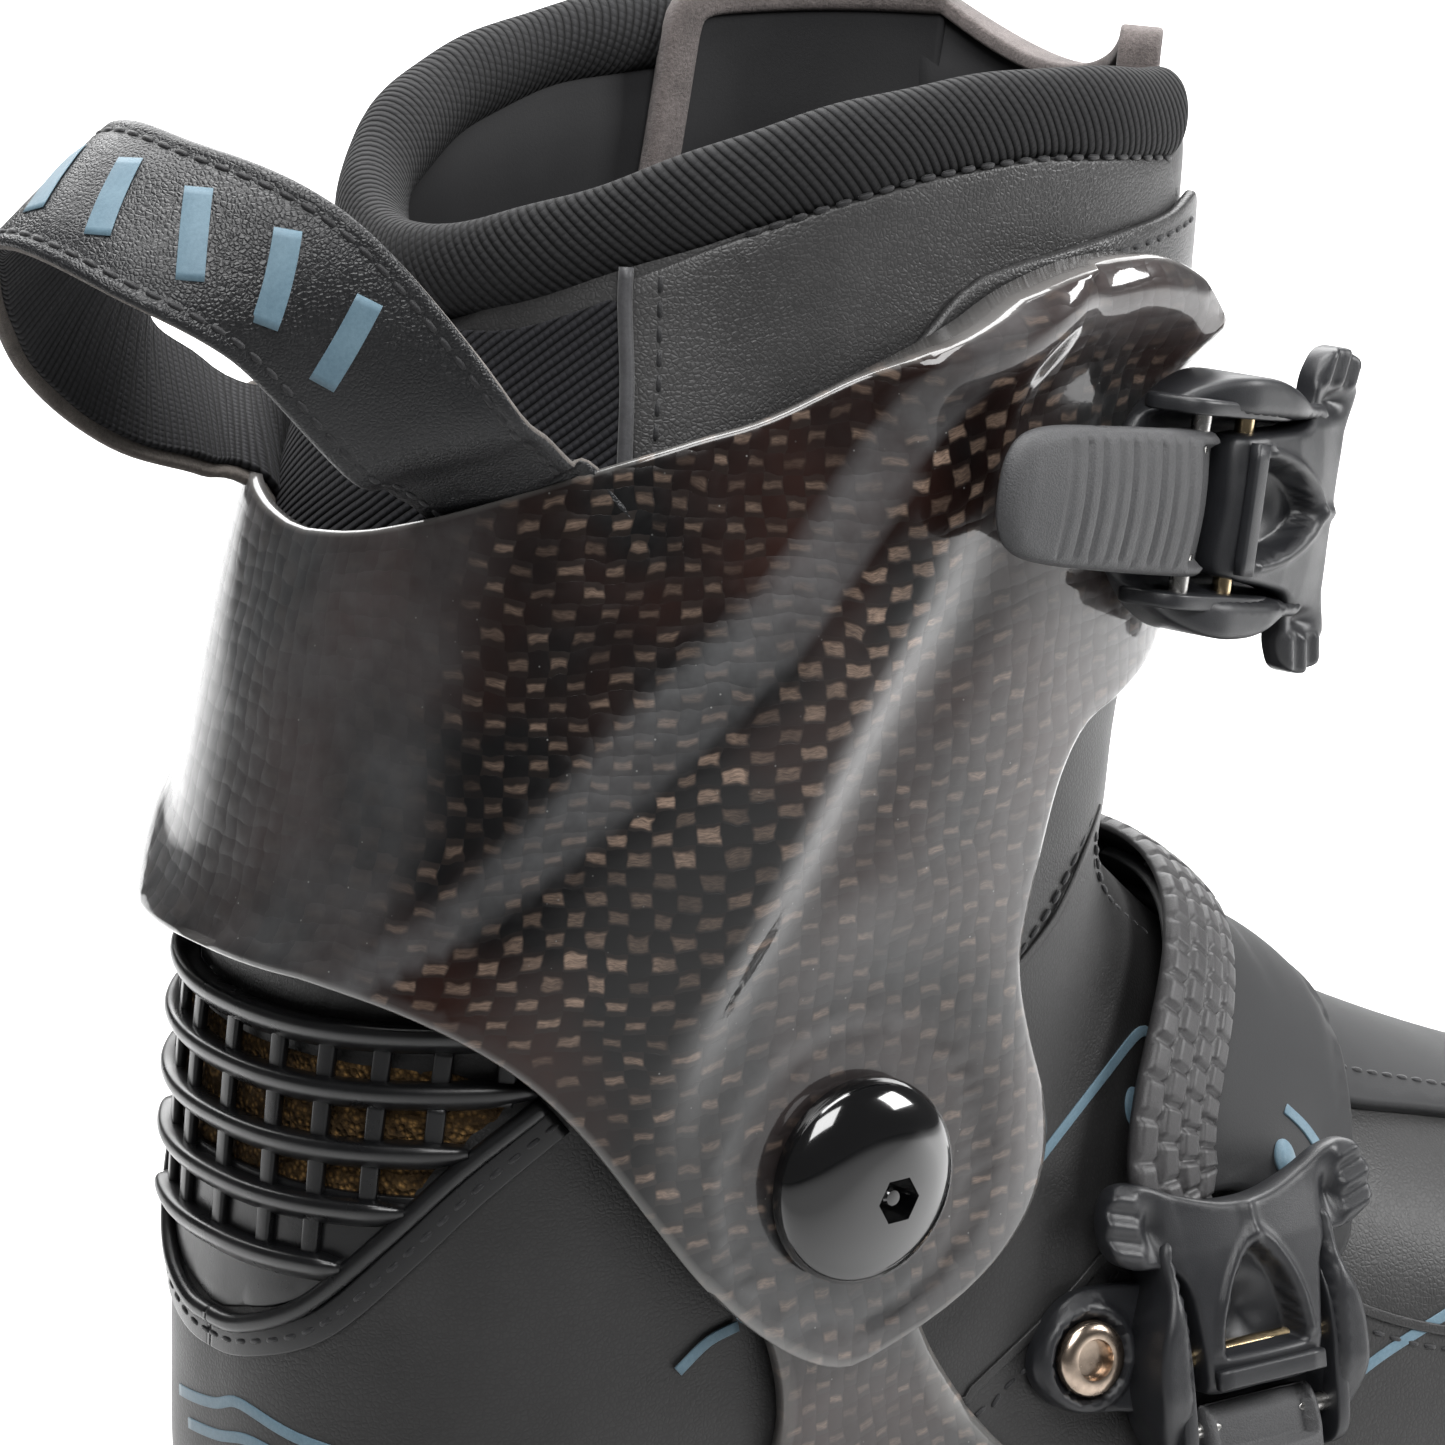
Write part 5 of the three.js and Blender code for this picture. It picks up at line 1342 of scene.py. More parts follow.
def make_vent():
    pieces = []
    for index, z in enumerate(RIB_LEVELS):
        reach = vent_half_angle(z)
        psi = np.linspace(-reach, reach, 50)
        t = solve_t(psi, lambda x, y: z + 0.0015 * y * y, 0.0, 3.5, 8.5)
        ends = 1 - 0.9 * smoothstep(0.85, 1.0, np.abs(psi) / reach)
        path = lifted(t, psi, np.full(50, 0.3))
        normals = normal_at(t, psi)
        normals[:, 2] += 0.35
        profile = np.array([(-1.5, -0.8), (1.5, -0.8), (1.45, 0.6), (0.9, 1.9), (0.25, 2.25), (-0.5, 2.0),
                            (-1.2, 1.0)])
        pieces.append(sweep(f"rib_{index}", path, unit(normals), catmull(profile, 3, closed=True),
                            scale=0.55 + 0.45 * ends))
    for index in range(4):
        z0, z1 = RIB_LEVELS[index + 1], RIB_LEVELS[index]
        reach = vent_half_angle(z0) - 0.06
        count = int(reach / 0.17)
        for k in range(-count, count + 1):
            psi = np.full(8, k * 0.17)
            t0 = solve_t(psi[:1], lambda x, y: z0, 0.0, 3.5, 8.5)[0]
            t1 = solve_t(psi[:1], lambda x, y: z1, 0.0, 3.5, 8.5)[0]
            t = np.linspace(t0, t1, 8)
            pieces.append(sweep(f"bar_{index}_{k}", lifted(t, psi, np.full(8, -0.3)), normal_at(t, psi),
                                strip(2.2, 1.2, 0.4)))
    # solid plate behind the lower ribs, and the flange that is stitched down
    lower = [(-59.5, 90), (-52, 90), (-45.5, 90), (-50.5, 84), (-54.5, 79), (-58.3, 74.4), (-60, 72.4)]
    pieces.append(panel("vent_plate", [back_loop(lower, 1.4)], -0.1, -1.2, spacing=1.8, edge=0.3))
    for sign in (-1, 1):
        points = [(x, y * -sign, z) for x, y, z in VENT_EDGE]
        path, normals = surface_line(points, 0.4, spacing=1.0, three=True)
        pieces.append(sweep(f"vent_rim_{sign}", path, normals, circle(1.15, 10)))
        outer = [(x + 1.2, (y - 1.6) * -sign if abs(y) > 8 else y * -sign, z - 2.1) for x, y, z in VENT_EDGE]
        path, normals = surface_line(outer, 0.1, spacing=1.2, three=True)
        pieces.append(sweep(f"vent_flange_{sign}", path, normals, strip(3.6, 0.75, 0.3, -0.15)))
        finish_piece(stitches(f"vent_stitches_{sign + 1}", [(path + normals * 0.65, normals)]), THREAD,
                     "root")
    finish_piece(join("heel_grille", pieces), TPU, "root", ["heel_vent"])
    loop = back_loop([(-57, 104.5), (-45, 104.5), (-36, 101), (-41, 95), (-48, 88), (-58, 87)], 1.6)
    ob = panel("vent_cushion", [loop], lambda u, v, d: -1.0 + 0.35 * np.sin(u * 0.9) * np.sin(v * 0.8), -3.0,
               spacing=1.8, edge=0.4)
    finish_piece(ob, FOAM, "root", ["vent_foam"])


def make_toe_cap():
    rows, cols = 34, 120
    psi = np.linspace(-PI, PI, cols, endpoint=False)
    outline = np.array([(178, -5), (178, 24), (181, 33), (187, 44), (192, 52), (197, 64)], float)
    start = np.zeros(cols)
    for j, angle in enumerate(psi):
        t = np.linspace(13.5, 18, 120)
        p = on_surface(t, np.full(120, angle))
        ahead = p[:, 0] - np.interp(p[:, 2], outline[:, 1], outline[:, 0])
        start[j] = t[int(np.argmax(ahead > 0))]
    s = np.linspace(0, 1, rows)[:, None]
    t = start + s * (17.97 - start)
    lip = 1 - smoothstep(0, 2.0, s * rows)
    outer = 2.1 - 1.3 * lip + 0.12 * np.sin(s * 60) * smoothstep(0.1, 0.2, s) * smoothstep(0.5, 0.4, s)
    ob = sheet("toe_guard", t, np.broadcast_to(psi, t.shape), outer, 0.35, wrap=True,
               tip=np.array([[230.9, 9, 27], [228, 9, 27]]))
    finish_piece(ob, TPU, "root", ["toe_cap"])


# ------------------------------------------------------------------ sole
SOLE_PLAN = [(-66, 0), (-62, 20), (-45, 34), (-10, 38), (40, 39), (90, 46), (140, 52), (180, 52), (208, 44),
             (226, 28), (233, 9), (227, -12), (208, -30), (180, -42), (140, -48), (90, -45), (40, -40),
             (-10, -38),
             (-45, -34), (-62, -20)]


def make_sole():
    plan = resample(catmull(SOLE_PLAN, 8, closed=True), 2.2, closed=True)
    inward = plan - plan.mean(0)
    plan = plan - unit(inward) * 0.8
    spring = lambda x: np.interp(x, [-70, 150, 185, 210, 240], [0, 0, 1.6, 4.0, 8.0])
    groove = lambda y: smoothstep(3.6, 2.6, np.abs(np.abs(y) - 13))

    def low(u, v, depth):
        lugs = smoothstep(0.75, 0.45, np.abs(((u * 0.9 + np.abs(v) * 0.55) / 11) % 1 - 0.5) * 2)
        tread = 1.7 * (1 - lugs) * smoothstep(2.5, 4.5,
                                              depth) * (1 - smoothstep(60, 70, u) * smoothstep(100, 90, u))
        bar = smoothstep(11, 9, np.abs(v)) * smoothstep(7, 5.5, np.abs(u - 221))
        return spring(u) + np.maximum(tread, 3.5 * groove(v) * (u > -52) * (u < 205)) + 7.5 * bar

    def high(u, v, depth):
        return 19.8 + 1.6 * smoothstep(196, 236,
                                       u) - 8.2 * smoothstep(0, 7, depth - 2.5 - 14 * smoothstep(-38, -56, u))

    ob = slab("sole_block", [plan], high, low, lambda u, v, h: np.stack([u, v, h], -1), spacing=1.7, edge=1.0,
              low_edge=1.2, flat="plan")
    pieces = [ob]
    normals = np.tile(np.array([0.0, 0.0, 1.0]), (len(plan), 1))
    for height, width, rise in ((4.2, 1.5, 2.2), (8.0, 1.2, 1.4), (11.2, 1.2, 1.4), (15.4, 2.4, 3.2)):
        lift = spring(plan[:, 0]) * (1 - height / 26)
        path = np.column_stack([plan, height + lift])
        pieces.append(sweep(f"sole_bead_{height}", path, normals,
                            circle(1.0, 12) * np.array([width * 0.55, rise / 2]),
                            closed=True))
    finish_piece(join("outsole_body", pieces), RUBBER, "root", ["outsole"], sharp=50)


# ------------------------------------------------------------------ pull loop
LOOP_ROUTE = [
    ((-26.5, -31.8, 157), (0.6, -0.78, 0.2)), ((-30.3, -28.4, 163), (0.6, -0.78, 0.2)),
    ((-34.2, -24.8, 168.6), (0.6, -0.78, 0.2)), ((-40.3, -26.0, 173.6), (0.68, -0.7, 0.22)),
    ((-47, -27, 178.5), (0.78, -0.57, 0.25)), ((-60, -22, 194), (0.85, -0.3, 0.45)),
    ((-71, -12, 201), (0.82, -0.1, 0.55)), ((-74, 0, 203), (0.8, 0, 0.6)), ((-72, 9, 199), (0.82, 0.1, 0.55)),
    ((-65, 18, 187), (0.85, 0.3, 0.45)), ((-54, 23.5, 176.5), (0.8, 0.55, 0.25)),
    ((-44, 24.5, 170.5), (0.7, 0.68, 0.25)),
    ((-37, 23.0, 166.5), (0.6, 0.78, 0.25)), ((-32, 27.4, 160), (0.6, 0.78, 0.25)),
    ((-28.5, 30.4, 154), (0.6, 0.78, 0.25)),
]
BAR_HALF = 5.0  # half length of a printed bar, across the loop
BAR_SLANT = 2.4  # how many path steps a bar leans over


def make_loop():
    route = np.array([at + across for at, across in LOOP_ROUTE])
    line = resample(catmull(route, 10), 1.4)
    path, across = line[:, :3], line[:, 3:]
    tangent = unit(np.gradient(path, axis=0))
    across = unit(across - tangent * (across * tangent).sum(1, keepdims=True))
    out = np.cross(across, tangent)
    leather = [(-10, 0.4), (-9.6, 0.1), (9.6, 0.1), (10, 0.4), (10, 1.05), (9.6, 1.4), (8.8, 1.45),
               (8.1, 1.27),
               (7.4, 1.5), (4, 1.6), (0, 1.65), (-4, 1.6), (-7.4, 1.5), (-8.1, 1.27), (-8.8, 1.45),
               (-9.6, 1.4),
               (-10, 1.05)]
    index = [1] * 4 + [0] * (len(leather) - 5) + [1]  # raw edges, face, raw edge
    ob = sweep("loop_leather", path, out, leather, indices=index)
    finish_piece(ob, [LOOP_LEATHER, RAW_EDGE], "shaft", ["pull_loop"])
    wave = 0.12 * np.sin(np.arange(len(path)) * 0.9)
    ribbon = strip(17.4, 1.0, 0.35, -0.95)
    ob = sweep("loop_ribbon", path + out * wave[:, None], out, ribbon)
    finish_piece(ob, RIBBON, "shaft", ["pull_loop_ribbon"])
    rows = [(path + across * y + out * 1.4, out) for y in (-8.1, 8.1)]
    finish_piece(stitches("loop_stitches", rows, pitch=2.6, length=1.9, radius=0.4), THREAD, "shaft")
    # plain slanted bars printed along the middle
    pieces = []
    for k, start in enumerate(range(31, len(path) - 18, 7)):
        f = np.linspace(0, 1, 12)
        at = start + f * BAR_SLANT
        base, side, lift = (np.stack([np.interp(at, np.arange(len(path)), values[:, c]) for c in range(3)],
                                     -1)
                            for values in (path, across, out))
        y = -BAR_HALF + 2 * BAR_HALF * f[:, None]
        points = base + side * y + lift * (1.74 - 0.003 * y**2)
        pieces.append(sweep(f"bar_{k}", points, lift, strip(3.1, 0.12, 0.04, -0.06)))
    finish_piece(join("loop_print", pieces), PRINT, "shaft")


# ------------------------------------------------------------------ straps over the instep and the shin
PAD_LINE = [(72.5, -30, 78), (75.0, -31.5, 75.5), (76.2, -33, 72), (75.5, -34.6, 69), (72.5, -36.5, 65.5),
            (69, -38, 62)]


def make_instep():
    lateral = [(72, 107.2), (66, 104), (60, 98.5), (56, 89), (53.2, 79.5), (53.4, 74.6), (57, 72.6),
               (63, 71.6), (68, 67),
               (73, 61.5), (77.5, 62.8), (82, 70), (88, 78), (95, 86), (97.5, 91.5)]
    line = place(resample(catmull(lateral, 5), 1.5), -1, 3.2)
    line[0, 1] = line[-1, 1] = -PI + 0.001

    def pad_offset(x, y, z, depth):
        bulge = 0.9 * smoothstep(0.5, 6.0, depth)
        welt = -0.55 * np.exp(-((depth - 2.6) / 0.5) ** 2)
        groove = -0.6 * np.exp(-((np.hypot((x - 84) / 0.7, (z - 80) / 1.5) - 9) / 1.0) ** 2) * (x > 79)
        return 3.7 + bulge + welt + groove

    ob = panel("instep_cushion", [mirrored(line, over_top=True)], side_function(pad_offset), 2.3, spacing=1.5,
               edge=1.1,
               rounds=2)
    finish_piece(ob, PAD_SKIN, "root", ["instep_pad"])
    pieces = []
    for sign in (-1, 1):
        points = [(x, y * -sign, z) for x, y, z in PAD_LINE]
        path, normals = surface_line(points, 4.55, spacing=1.0, three=True)
        pieces.append(sweep(f"pad_line_{sign}", path, normals, strip(1.5, 0.4, 0.12, -0.1)))
        for x, y, z in ((70, -33, 73), (66.3, -35.3, 69)):
            at = locate([(x, y * -sign, z)], (0, 1, 2), AROUND)
            centre, normal = lifted(at[:, 0], at[:, 1], np.full(1, 4.6))[0], normal_at(at[:, 0], at[:, 1])[0]
            pieces.append(disc(f"pad_dot_{sign}_{z}", centre, normal, 1.6, 2.5, 0.3))
    finish_piece(join("pad_prints", pieces), PRINT, "root")
    holes = []
    for sign in (-1, 1):
        path, normals = surface_line([(52.5, 76), (53.5, 82), (56, 89), (60.5, 96), (67, 102)], 4.15, sign,
                                     spacing=3.4)
        holes += [disc(f"hole_{sign}_{k}", p, n, 0.85, 1.1, 0.12) for k,
                  (p, n) in enumerate(zip(path, normals))]
    finish_piece(join("pad_holes", holes), THREAD, "root")

    # ladder strap with blocks like scales in columns
    low_run = [(51.5, -37.5, 70), (50.5, -35.5, 77), (52.5, -32, 84), (57.5, -27.5, 91), (64, -20, 97.5),
               (69.5, -10, 101.5),
               (72, 0, 103)]
    path_points = low_run + [(x, -y, z) for x, y, z in low_run[-2::-1]]
    path, normals = surface_line(path_points, 5.2, spacing=0.42, three=True, span=(-1.5 * PI, -0.001))
    length = distance_along(path)
    half = 7.2
    columns = np.linspace(-half, half, 37)
    row = (length[:, None] / 4.1 + 0.5 * (np.floor((columns[None] + half) / 3.6) % 2)) % 1.0
    column = ((columns[None] + half) / 3.6) % 1.0
    block = smoothstep(0.0, 0.13, row) * smoothstep(1.0, 0.87, row) * smoothstep(0.0, 0.16,
                                                                                 column) * smoothstep(1.0,
                                                                                                      0.84,
                                                                                                      column)
    taper = smoothstep(0, 7, length) * smoothstep(0, 7, length[-1] - length)
    height = 0.9 + block * 0.95 - 0.012 * columns[None] ** 2
    tangent = unit(np.gradient(path, axis=0))
    across = unit(np.cross(tangent, normals))
    wide = (0.62 + 0.38 * taper)[:, None]
    top = path[:, None] + across[:, None] * (columns[None]
                                             * wide)[..., None] + normals[:, None] * height[..., None]
    bottom = path[:, None] + across[:, None] * (columns[None] * wide)[..., None] - normals[:, None] * 0.5
    grid_solid("ladder_strap", top, bottom, LADDER, ["instep_strap"], "root")


def grid_solid(name, top, bottom, material, replaces, body):
    rows, cols = top.shape[:2]
    n = rows * cols
    faces = []
    for i in range(rows - 1):
        for j in range(cols - 1):
            a, b, c, d = i * cols + j, i * cols + j + 1, (i + 1) * cols + j + 1, (i + 1) * cols + j
            faces += [(a, b, c, d), (d + n, c + n, b + n, a + n)]
    rim = [j for j in range(cols)] + [i * cols + cols - 1 for i in range(1, rows)]
    rim += [(rows - 1) * cols + j for j in range(cols - 2, -1, -1)] + [i * cols
                                                                       for i in range(rows - 2, 0, -1)]
    for a, b in zip(rim, rim[1:] + rim[:1]):
        faces.append((b, a, a + n, b + n))
    ob = new_object(name, np.vstack([top.reshape(-1, 3), bottom.reshape(-1, 3)]), faces)
    clean(ob, merge=0.001)
    return finish_piece(ob, material, body, replaces)


def make_cuff_strap():
    """Power strap over the shin, from the cuff buckle round to the inner side of the cuff."""
    points = []
    for x, y in ((57, -22), (64.5, -15), (69.3, -6), (70.6, 3), (67, 15), (58, 26.5), (46, 35), (32, 40.8),
                 (18, 43.5)):
        points.append((x, y, 161 - (x - 40) * 0.2))
    path, normals = surface_line(points, 6.4, spacing=1.0, three=True, span=(0.25 * PI, 1.6 * PI))
    profile = strip(15.6, 1.9, 0.6, -0.5)
    ob = sweep("power_strap", path, normals, profile)
    pieces = [ob]
    steps = range(6, len(path) - 30, 4)
    for k in steps:
        across = unit(np.cross(path[k + 1] - path[k - 1], normals[k]))
        line = path[k] + across * np.linspace(-5.6, 5.6, 9)[:, None] + normals[k] * 1.45
        pieces.append(sweep(f"tooth_{k}", line, np.tile(normals[k], (9, 1)), circle(0.75, 8, 0.9)))
    finish_piece(join("power_strap", pieces), NYLON, "shaft", ["cuff_strap"])


# ------------------------------------------------------------------ ratchet buckles
CUFF_MAP = local_map((41.417, -42.529, 162), (0.9448, 0.2532, -0.2079), (0.2588, -0.9659, 0))
INSTEP_OUT = np.array([-0.07, -0.985, 0.155])
INSTEP_FORWARD = unit(np.array([0.0, 0.155, 0.985]))
INSTEP_OUT = unit(INSTEP_OUT - INSTEP_FORWARD * (INSTEP_OUT @ INSTEP_FORWARD))
INSTEP_Y = (42.8 - 58 * INSTEP_OUT[0] - 46 * INSTEP_OUT[2]) / INSTEP_OUT[1]
INSTEP_MAP = local_map((58, INSTEP_Y, 46), INSTEP_FORWARD, INSTEP_OUT)
BUCKLE_BODY = {"cuff_buckle": "shaft", "instep_buckle": "root"}


def make_pin(prefix, frame_map, x, z, label, half=12.4, radius=1.15):
    origin = frame_map(x, -half, z)
    profile = [(0.001, 0), (radius - 0.25, 0), (radius, 0.25), (radius, 2 * half - 0.25),
               (radius - 0.25, 2 * half),
               (0.001, 2 * half)]
    ob = lathe(f"{prefix}_{label}_rod", profile, origin, frame_map.across, 24)
    finish_piece(ob, BRASS if label == "latch_pin" else STEEL, BUCKLE_BODY[prefix], [f"{prefix}_{label}"],
                 sharp=40)


def make_base(prefix, frame_map, wing):
    half = [(-10, 0), (-7, 9), (1, 14.4), (10, 15), (18, 12.6), (24, 11.4), (25, 0)]
    plan = catmull(symmetric(half), 6, closed=True)

    def shoulder(u, v, depth):
        """Curved wings above and below the lever, higher towards the strap."""
        rise = smoothstep(9.0, 11.2, np.abs(v)) * (3.0 + 4.6 * smoothstep(-6, 6, u) - 2.4
                                                   * smoothstep(13, 24, u))
        return 2.0 + rise

    pieces = [slab(f"{prefix}_plate", [plan], shoulder, 0.0, frame_map, spacing=0.9, edge=1.0, low_edge=0.3,
                   flat="plan")]
    for sign in (-1, 1):
        cheek = catmull([(-5, 1), (8, 1.2), (20, 1), (19, 5), (13, 8.2), (4, 8.7), (-3, 8.2), (-5.4, 5)], 4,
                        closed=True)

        def cheek_map(u, v, height, sign=sign):
            return frame_map(u, sign * (10.2 + height), v)

        pieces.append(slab(f"cheek_{sign}", [cheek], 1.9, 0.0, cheek_map, spacing=0.9, edge=0.5, low_edge=0.3,
                           flat="plan"))
    if wing:
        outline = catmull([(3, 8), (16, 8), (19, 19), (17, 25), (11, 28.5), (5.5, 25), (3.5, 17)], 5,
                          closed=True)
        a = np.linspace(0, 2 * PI, 30, endpoint=False)
        hole = np.stack([11 + 3.4 * np.cos(a), 21 + 3.4 * np.sin(a)], -1)

        def raised(u, v, depth):
            ring = np.hypot(u - 11, v - 21)
            return 1.9 + 1.3 * smoothstep(7.2, 6.2, ring) - 1.4 * smoothstep(5.4, 4.9, ring)

        pieces.append(slab(f"{prefix}_wing", [outline, hole], raised, 0.0, frame_map, spacing=0.7, edge=0.5,
                           flat="plan"))
    ob = join(f"{prefix}_body", pieces)
    finish_piece(ob, NYLON, BUCKLE_BODY[prefix], [f"{prefix}_base"], sharp=60)


def make_lever(prefix, frame_map):
    half = [(-36, 0), (-35.4, 4), (-33, 6.6), (-28, 7.7), (-18, 8.1), (-6, 8.3), (2.2, 8.2), (2.8, 6),
            (2.9, 0)]
    plan = catmull(symmetric(half), 5, closed=True)

    def top(u, v, depth):
        spine = np.interp(u, [-36, -33, -28, -20, -8, -2, 1, 3.4], [6.6, 7.7, 8.7, 9.3, 9.5, 9.3, 8.6, 7.2])
        near = np.abs((u + 30) / 2.7 - np.round((u + 30) / 2.7)) * 2.7
        fine = -0.5 * np.exp(-(near / 0.28) ** 2) * (u > -29) * (u < -4) * smoothstep(0.8, 1.6, depth)
        inset = -1.6 * smoothstep(-3.2, -2.4, u) * smoothstep(7.2, 6.6, np.abs(v))
        return spine - 0.014 * v**2 + fine + inset

    def low(u, v, depth):
        return np.interp(u, [-36, -30, -20, -8, -3, 0, 1.6, 3.4], [4.4, 4.8, 5.3, 5.0, 3.7, 3.2, 3.6, 5.2])

    ob = slab(f"{prefix}_handle", [plan], top, low, frame_map, spacing=0.5, edge=1.3, low_edge=0.8,
              flat="plan")
    finish_piece(ob, GRIP, f"{prefix.replace('_buckle', '')}_lever", [f"{prefix}_lever"])


def make_latch(prefix, frame_map):
    half = [(4.4, 0), (4.4, 7), (6.6, 8.2), (13, 8.9), (18.5, 9.8), (20.6, 12.2), (21.2, 16), (23.4, 18.8),
            (27.6, 19.2), (31, 17.4), (31, 13.5), (29, 9), (27.4, 4), (27, 0)]
    plan = catmull(symmetric(half), 5, closed=True)

    def top(u, v, depth):
        spine = np.interp(u, [4, 6, 9, 16, 22, 27, 32], [7.6, 9.2, 9.8, 9.5, 8.6, 7.4, 6.4])
        body = spine - 0.010 * np.minimum(v**2, 90)
        arch = (np.abs(v) / 6.0) ** 1.5 + (np.maximum(u - 9.6, 0) / 12.4) ** 1.7
        recess = smoothstep(1.0, 0.86, arch) * smoothstep(9.0, 9.5, u)
        floor = 5.4 - 1.5 * smoothstep(5.0, 0.0, np.hypot(u - 13.6, v))
        lip = 0.5 * np.exp(-((arch - 1.2) / 0.12) ** 2) * (u > 10)
        ridge = 0.6 * np.exp(-(v / 0.8) ** 2) * smoothstep(21.8, 22.8, u)
        ears = smoothstep(9.5, 12.0, np.abs(v))
        ribs = 0.4 * np.cos((u - 26 - (np.abs(v) - 15) * 0.3) * 1.9) * smoothstep(14.2, 15.2, np.abs(v))
        scoop = 1.5 * np.exp(-((np.abs(v) - 13.0) / 1.2) ** 2) * np.exp(-((u - 25.4) / 2.4) ** 2)
        outer = np.interp(u, [18, 24, 32], [7.0, 6.6, 5.6]) + ribs - scoop
        height = body * (1 - ears) + outer * ears + lip + ridge
        return height * (1 - recess) + floor * recess

    def low(u, v, depth):
        return np.interp(u, [4, 12, 22, 29, 32], [3.6, 3.2, 3.5, 2.8, 2.8])

    pieces = [slab(f"{prefix}_shield", [plan], top, low, frame_map, spacing=0.45, edge=0.7, low_edge=0.4,
                   flat="plan")]
    line = frame_map(np.full(9, 6.6), np.linspace(-7.6, 7.6, 9), np.full(9, 9.5))
    pieces.append(sweep(f"{prefix}_bar", line, np.tile(frame_map.outward, (9, 1)),
                        strip(2.4, 1.5, 0.4, -0.5)))
    ob = join(f"{prefix}_catch", pieces)
    finish_piece(ob, NYLON, f"{prefix.replace('_buckle', '')}_latch", [f"{prefix}_latch"])


def make_buckles():
    for prefix, frame_map, wing in (("cuff_buckle", CUFF_MAP, False), ("instep_buckle", INSTEP_MAP, True)):
        make_base(prefix, frame_map, wing)
        make_lever(prefix, frame_map)
        make_latch(prefix, frame_map)
        make_pin(prefix, frame_map, 0, 5.6, "lever_pin")
        make_pin(prefix, frame_map, 9, 5.4, "latch_pin")
    head = [(0.001, -0.9), (1.5, -0.9), (1.5, 0.5), (4.3, 0.5), (4.6, 0.8), (4.6, 1.7), (4.2, 2.3),
            (3.3, 2.6), (2.5, 2.5), (2.3, 2.1),
            (2.2, 0.9), (0.001, 0.8)]
    seat = INSTEP_MAP(11.0, 21.0, 1.5)
    ob = lathe("instep_screw", head, seat, INSTEP_MAP.outward, 64)
    finish_piece(ob, BRONZE, "root", ["instep_buckle_screw"], sharp=50)


# ------------------------------------------------------------------ build
make_upper()
make_tongue()
make_tongue_wing()
make_liner()
make_roll()
make_collar_panels()
make_laces()
make_lace_cover()
make_upper_details()
make_prints()
make_inside()
make_cuff()
make_chassis()
make_pivots()
make_vent()
make_toe_cap()
make_sole()
make_loop()
make_instep()
make_cuff_strap()
make_buckles()
for node in ("toe_bar", "pivot_bush_lateral", "pivot_bush_medial", "pivot_nut_lateral", "pivot_nut_medial"):
    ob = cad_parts[node]
    ob.data.materials.clear()
    ob.data.materials.append(STEEL)


# ------------------------------------------------------------------ camera, floor and light
AZIMUTH, ELEVATION = math.radians(-35), math.radians(15)
CAP_FACE = Vector((0, -44, 88)) * MM  # on the outer pivot cap
CAMERA_DISTANCE, CAMERA_LEFT, CAMERA_UP = 0.7, 0.01585, 0.05199  # from the cap's face, in metres
FOCAL_LENGTH, SENSOR_WIDTH = 153.5, 36


def make_camera():
    back = Vector((math.sin(AZIMUTH) * math.cos(ELEVATION), -math.cos(AZIMUTH) * math.cos(ELEVATION),
                   math.sin(ELEVATION)))
    right = Vector((math.cos(AZIMUTH), math.sin(AZIMUTH), 0))
    up = back.cross(right)
    data = bpy.data.cameras.new("camera")
    data.lens = FOCAL_LENGTH
    data.sensor_width = SENSOR_WIDTH
    data.clip_start = 0.01
    camera = bpy.data.objects.new("camera", data)
    seat = CAP_FACE + back * CAMERA_DISTANCE - right * CAMERA_LEFT + up * CAMERA_UP
    camera.matrix_world = Matrix.Translation(seat) @ Matrix((right, up, back)).transposed().to_4x4()
    bpy.context.scene.collection.objects.link(camera)
    bpy.context.scene.camera = camera


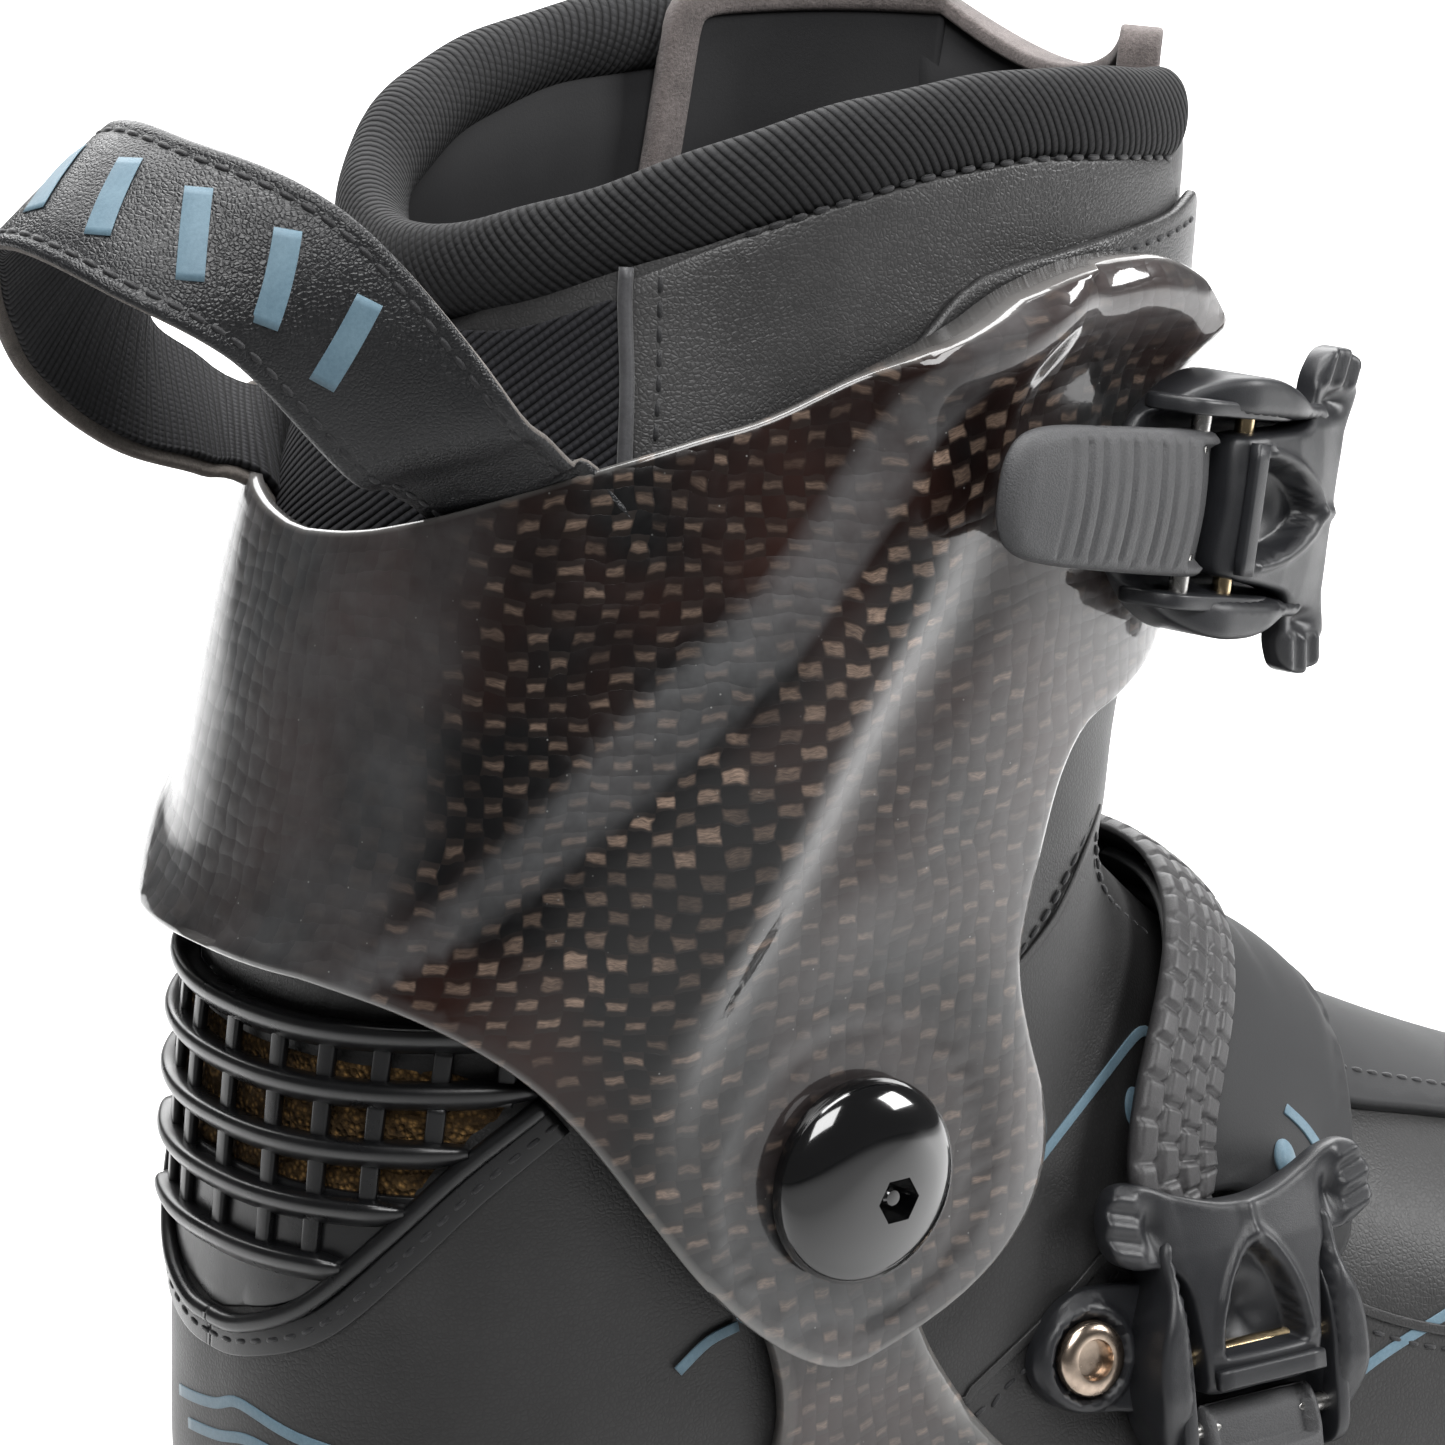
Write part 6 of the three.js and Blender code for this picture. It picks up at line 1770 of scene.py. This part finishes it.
def area_light(name, location, target, size, power):
    data = bpy.data.lights.new(name, "AREA")
    data.shape = "RECTANGLE"
    data.size, data.size_y = size
    data.energy = power
    ob = bpy.data.objects.new(name, data)
    ob.location = Vector(location)
    ob.rotation_mode = "QUATERNION"
    ob.rotation_quaternion = (Vector(target) - Vector(location)).to_track_quat("-Z", "Y")
    bpy.context.scene.collection.objects.link(ob)


FLOOR_SIZE = 4.0
FADE_START, FADE_END = -220.0, 60.0  # millimetres along AHEAD, from the floor's grey front to its pale rest
AHEAD = (0.574, 0.819)
WORLD_STRENGTH = 0.10
MIDDLE_OF_BOOT = (0.0, 0.0, 0.13)
LIGHTS = [  # name, place, target, size, power
    ("backdrop", (0.95, 1.45, 1.25), (0.75, 1.15, 0.0), (2.6, 2.2), 110),
    ("top_box", (-0.05, 0.0, 1.0), MIDDLE_OF_BOOT, (0.5, 0.5), 11),
    ("key", (-0.3, -0.7, 0.9), MIDDLE_OF_BOOT, (0.6, 0.5), 10),
    ("toe_box", (0.85, -0.6, 0.6), MIDDLE_OF_BOOT, (0.4, 0.4), 10),
]


def make_stage():
    size = FLOOR_SIZE
    me = bpy.data.meshes.new("floor")
    me.from_pydata([(-size, -size, 0), (size, -size, 0), (size, size, 0), (-size, size, 0)], [],
                   [(0, 1, 2, 3)])
    floor = bpy.data.objects.new("floor", me)
    bpy.context.scene.collection.objects.link(floor)
    n = Nodes("floor_pale")
    # the floor is grey in front of the boot and pale behind it, so the black parts have something dark to
    # mirror
    x, y, _ = n.split(n.place)
    behind = n.between(n.sum(n.times(x, AHEAD[0]), n.times(y, AHEAD[1])), FADE_START, FADE_END, 0.0, 1.0)
    pale = n.mix(n.noise(0.02, 3.0, 0.5), (0.86, 0.86, 0.86), (0.9, 0.9, 0.9))
    me.materials.append(n.done(colour=n.mix(behind, (0.24, 0.24, 0.24), pale), rough=0.7, specular=0.1))
    world = bpy.data.worlds.new("studio")
    world.use_nodes = True
    background = world.node_tree.nodes["Background"]
    background.inputs[0].default_value = (1, 1, 1, 1)
    background.inputs[1].default_value = WORLD_STRENGTH
    bpy.context.scene.world = world
    bpy.context.scene.view_settings.view_transform = "Standard"
    for light in LIGHTS:
        area_light(*light)


make_camera()
make_stage()
